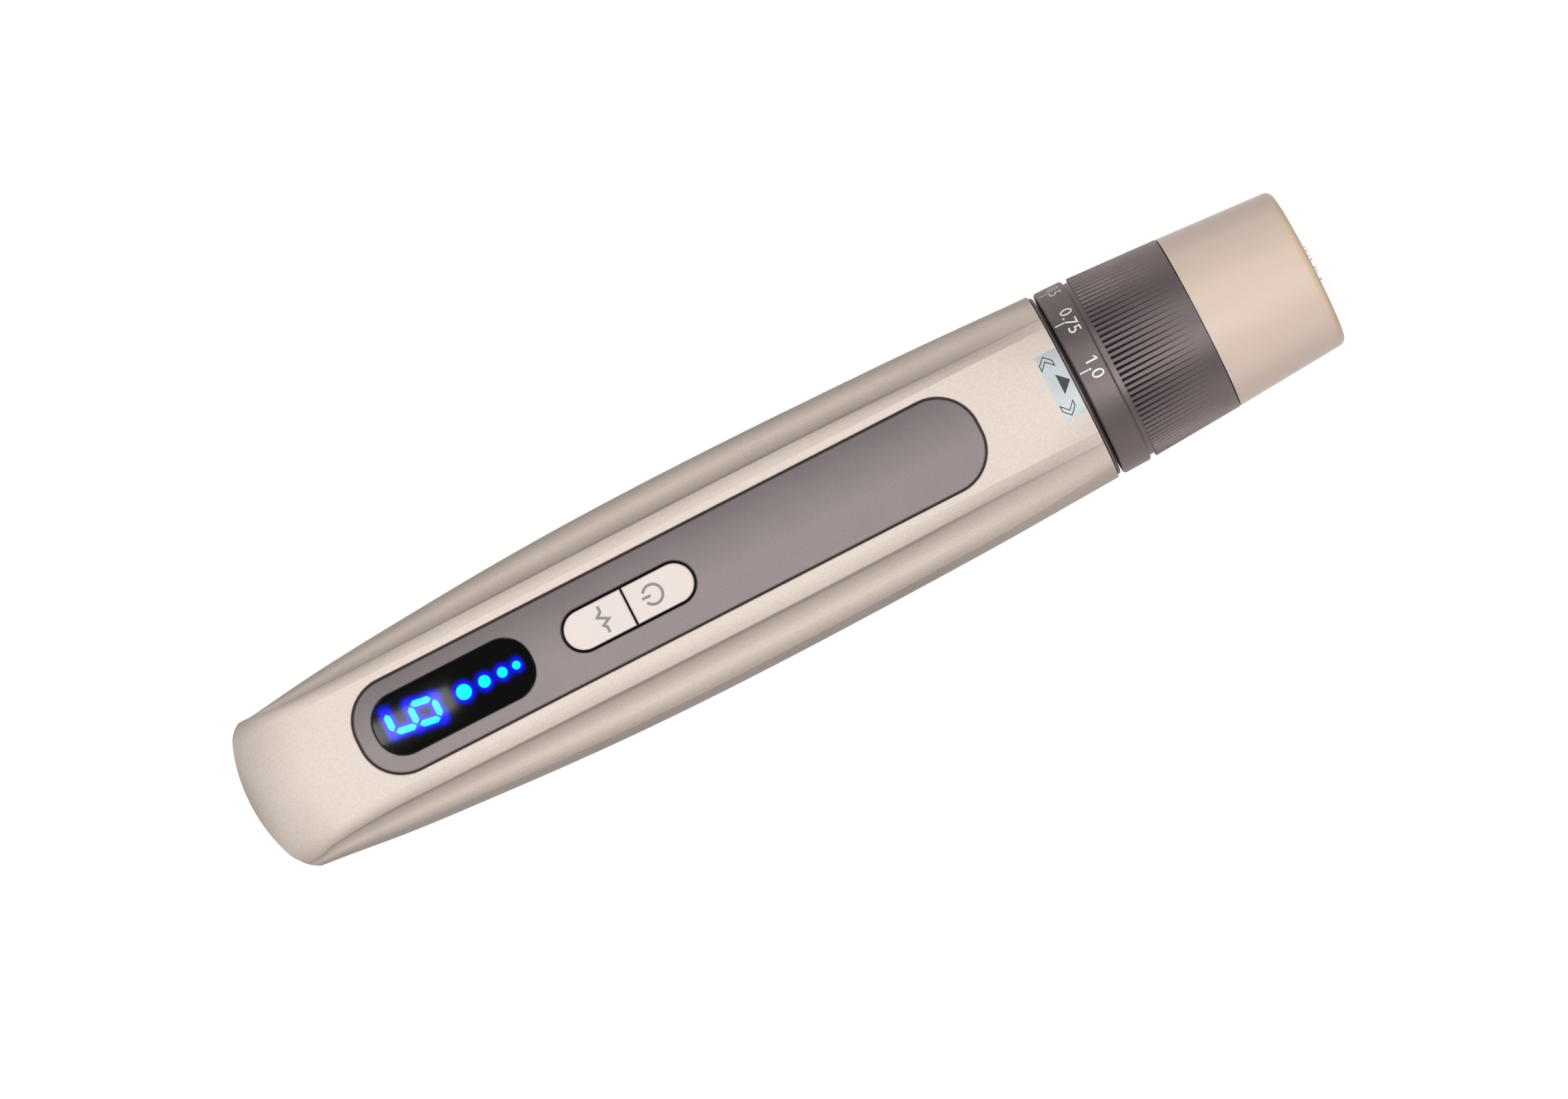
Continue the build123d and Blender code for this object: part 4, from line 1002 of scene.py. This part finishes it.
class PEN_OT_stage(bpy.types.Operator):
    """Sets the pale floor, the studio light and the camera"""

    bl_idname = "pen.stage"
    bl_label = "Stage"

    def execute(self, context):
        look = context.scene.pen_stage
        scene = context.scene
        scene.view_settings.view_transform = "Standard"
        self.floor()
        self.room(scene, look)
        # Two soft boxes, one each side of the pen, and the strip that the window reflects
        for name, place, size, power in (
            ("key_light", (-0.1, -0.33, 0.9), (0.42, 0.42), look.key_power),
            ("far_light", (-0.1, 0.33, 0.9), (0.42, 0.42), look.far_power),
            ("strip_light", (-0.1245, 0.0785, 1.0), (0.091, 0.0056), look.strip_power),
        ):
            self.lamp(name, place, size, power)
        self.camera(scene)
        return {"FINISHED"}

    def seen(self, tree):
        """1 for a ray from the camera, a mirror or a glass, and 0 for the light's own."""
        path = add(tree, "ShaderNodeLightPath")
        either = add(
            tree, "ShaderNodeMath",
            {0: path.outputs["Is Camera Ray"], 1: path.outputs["Is Glossy Ray"]},
            operation="MAXIMUM",
        ).outputs["Value"]
        return add(
            tree, "ShaderNodeMath", {0: either, 1: path.outputs["Is Transmission Ray"]},
            operation="MAXIMUM",
        ).outputs["Value"]

    def floor(self):
        """A wide white floor under the pen that keeps its soft shadow."""
        half = 3.0
        brightness = 0.93
        mesh = bpy.data.meshes.new("floor")
        corners = [(-half, -half, 0), (half, -half, 0), (half, half, 0), (-half, half, 0)]
        mesh.from_pydata(corners, [], [(0, 1, 2, 3)])
        floor = bpy.data.objects.new("floor", mesh)
        bpy.context.scene.collection.objects.link(floor)
        # White paper backdrop: pure white where it is seen, matt where it throws light back
        material, tree = blank("paper_backdrop")
        matt = add(
            tree, "ShaderNodeBsdfDiffuse", {"Color": linear("#8F7C74"), "Roughness": 0.9}
        ).outputs[0]
        bright = add(
            tree, "ShaderNodeEmission", {"Color": linear("#FFFFFF"), "Strength": brightness}
        ).outputs[0]
        white = add(tree, "ShaderNodeAddShader", {0: bright, 1: matt}).outputs[0]
        paper = add(
            tree, "ShaderNodeMixShader", {0: self.seen(tree), 1: matt, 2: white}
        ).outputs[0]
        add(tree, "ShaderNodeOutputMaterial", {"Surface": paper})
        mesh.materials.append(material)

    def room(self, scene, look):
        """A room with white walls and a dim ceiling, whose light on the pen is the fill."""
        wall_top, ceiling_start = 0.12, 0.5
        world = bpy.data.worlds.new("studio")
        scene.world = world
        world.use_nodes = True
        tree = world.node_tree
        tree.nodes.clear()
        ray = add(tree, "ShaderNodeTexCoord").outputs["Generated"]
        height = add(tree, "ShaderNodeSeparateXYZ", {0: ray}).outputs["Z"]
        wall = add(
            tree, "ShaderNodeMapRange",
            {"Value": height, "From Min": wall_top, "From Max": ceiling_start,
             "To Min": 1.0, "To Max": look.ceiling},
        ).outputs["Result"]
        level = add(
            tree, "ShaderNodeMapRange",
            {"Value": self.seen(tree), "To Min": look.fill, "To Max": wall},
        ).outputs["Result"]
        shade = add(
            tree, "ShaderNodeBackground", {"Color": linear("#FFFFFF"), "Strength": level}
        )
        add(tree, "ShaderNodeOutputWorld", {"Surface": shade.outputs[0]})

    def lamp(self, name, place, size, power):
        """A soft box aimed at the pen, with its length along it."""
        light = bpy.data.lights.new(name, "AREA")
        light.shape = "RECTANGLE"
        light.size, light.size_y = size
        light.energy = power
        lamp = bpy.data.objects.new(name, light)
        back = (Vector(place) - Vector((0, 0, AXIS_Z))).normalized()
        up = back.cross(Vector((1, 0, 0))).normalized()
        turned_to = Matrix((up.cross(back), up, back)).transposed().to_4x4()
        lamp.matrix_world = Matrix.Translation(place) @ turned_to
        bpy.context.scene.collection.objects.link(lamp)

    def camera(self, scene):
        """A long lens almost straight above, with the pen across the picture as photographed."""
        tilt, turn = math.radians(4.5), math.radians(27.2)
        back = Vector((0, -math.sin(tilt), math.cos(tilt)))
        across = Vector((0, math.cos(tilt), math.sin(tilt)))
        right = Vector((math.cos(turn), 0, 0)) - across * math.sin(turn)
        up = Vector((math.sin(turn), 0, 0)) + across * math.cos(turn)
        view_width = 229.6 * MM
        distance = 1.5
        # The pen's middle, and how far the picture's middle lies from it to the right and down
        pen_middle = Vector((8.55 * MM, 0, AXIS_Z))
        aside, down = 0.15 * MM, 1.98 * MM
        middle = pen_middle + right * aside - up * down
        data = bpy.data.cameras.new("camera")
        data.lens = data.sensor_width * distance / view_width
        camera = bpy.data.objects.new("camera", data)
        turned_to = Matrix((right, up, back)).transposed().to_4x4()
        camera.matrix_world = Matrix.Translation(middle + back * distance) @ turned_to
        scene.collection.objects.link(camera)
        scene.camera = camera


class PEN_PT_panel(bpy.types.Panel):
    """Lists the pen's looks and the operators that build it"""

    bl_idname = "PEN_PT_panel"
    bl_label = "Microneedling pen"
    bl_space_type = "VIEW_3D"
    bl_region_type = "UI"
    bl_category = "Pen"

    def draw(self, context):
        for group in GROUPS:
            look = getattr(context.scene, group)
            box = self.layout.box()
            for name in look.__annotations__:
                box.prop(look, name)
        for operator in OPERATORS:
            self.layout.operator(operator.bl_idname)


GROUPS = {
    "pen_housing": HousingLook,
    "pen_panel": PanelLook,
    "pen_display": DisplayLook,
    "pen_dial": DialLook,
    "pen_cartridge": CartridgeLook,
    "pen_stage": StageLook,
}
OPERATORS = (
    PEN_OT_housing,
    PEN_OT_control_panel,
    PEN_OT_display,
    PEN_OT_depth_dial,
    PEN_OT_pointer_label,
    PEN_OT_cartridge,
    PEN_OT_mechanism,
    PEN_OT_electronics,
    PEN_OT_stage,
)


def register():
    """Registers the groups, operators and panel."""
    for name, group in GROUPS.items():
        bpy.utils.register_class(group)
        setattr(bpy.types.Scene, name, PointerProperty(type=group))
    for operator in OPERATORS:
        bpy.utils.register_class(operator)
    bpy.utils.register_class(PEN_PT_panel)


def unregister():
    """Takes away what register added."""
    bpy.utils.unregister_class(PEN_PT_panel)
    for operator in reversed(OPERATORS):
        bpy.utils.unregister_class(operator)
    for name, group in reversed(GROUPS.items()):
        delattr(bpy.types.Scene, name)
        bpy.utils.unregister_class(group)


def main():
    """Registers the pen's tools, then dresses the pen and sets the stage."""
    register()
    for operator in OPERATORS:
        group, name = operator.bl_idname.split(".")
        getattr(getattr(bpy.ops, group), name)()


if __name__ == "__main__":
    main()
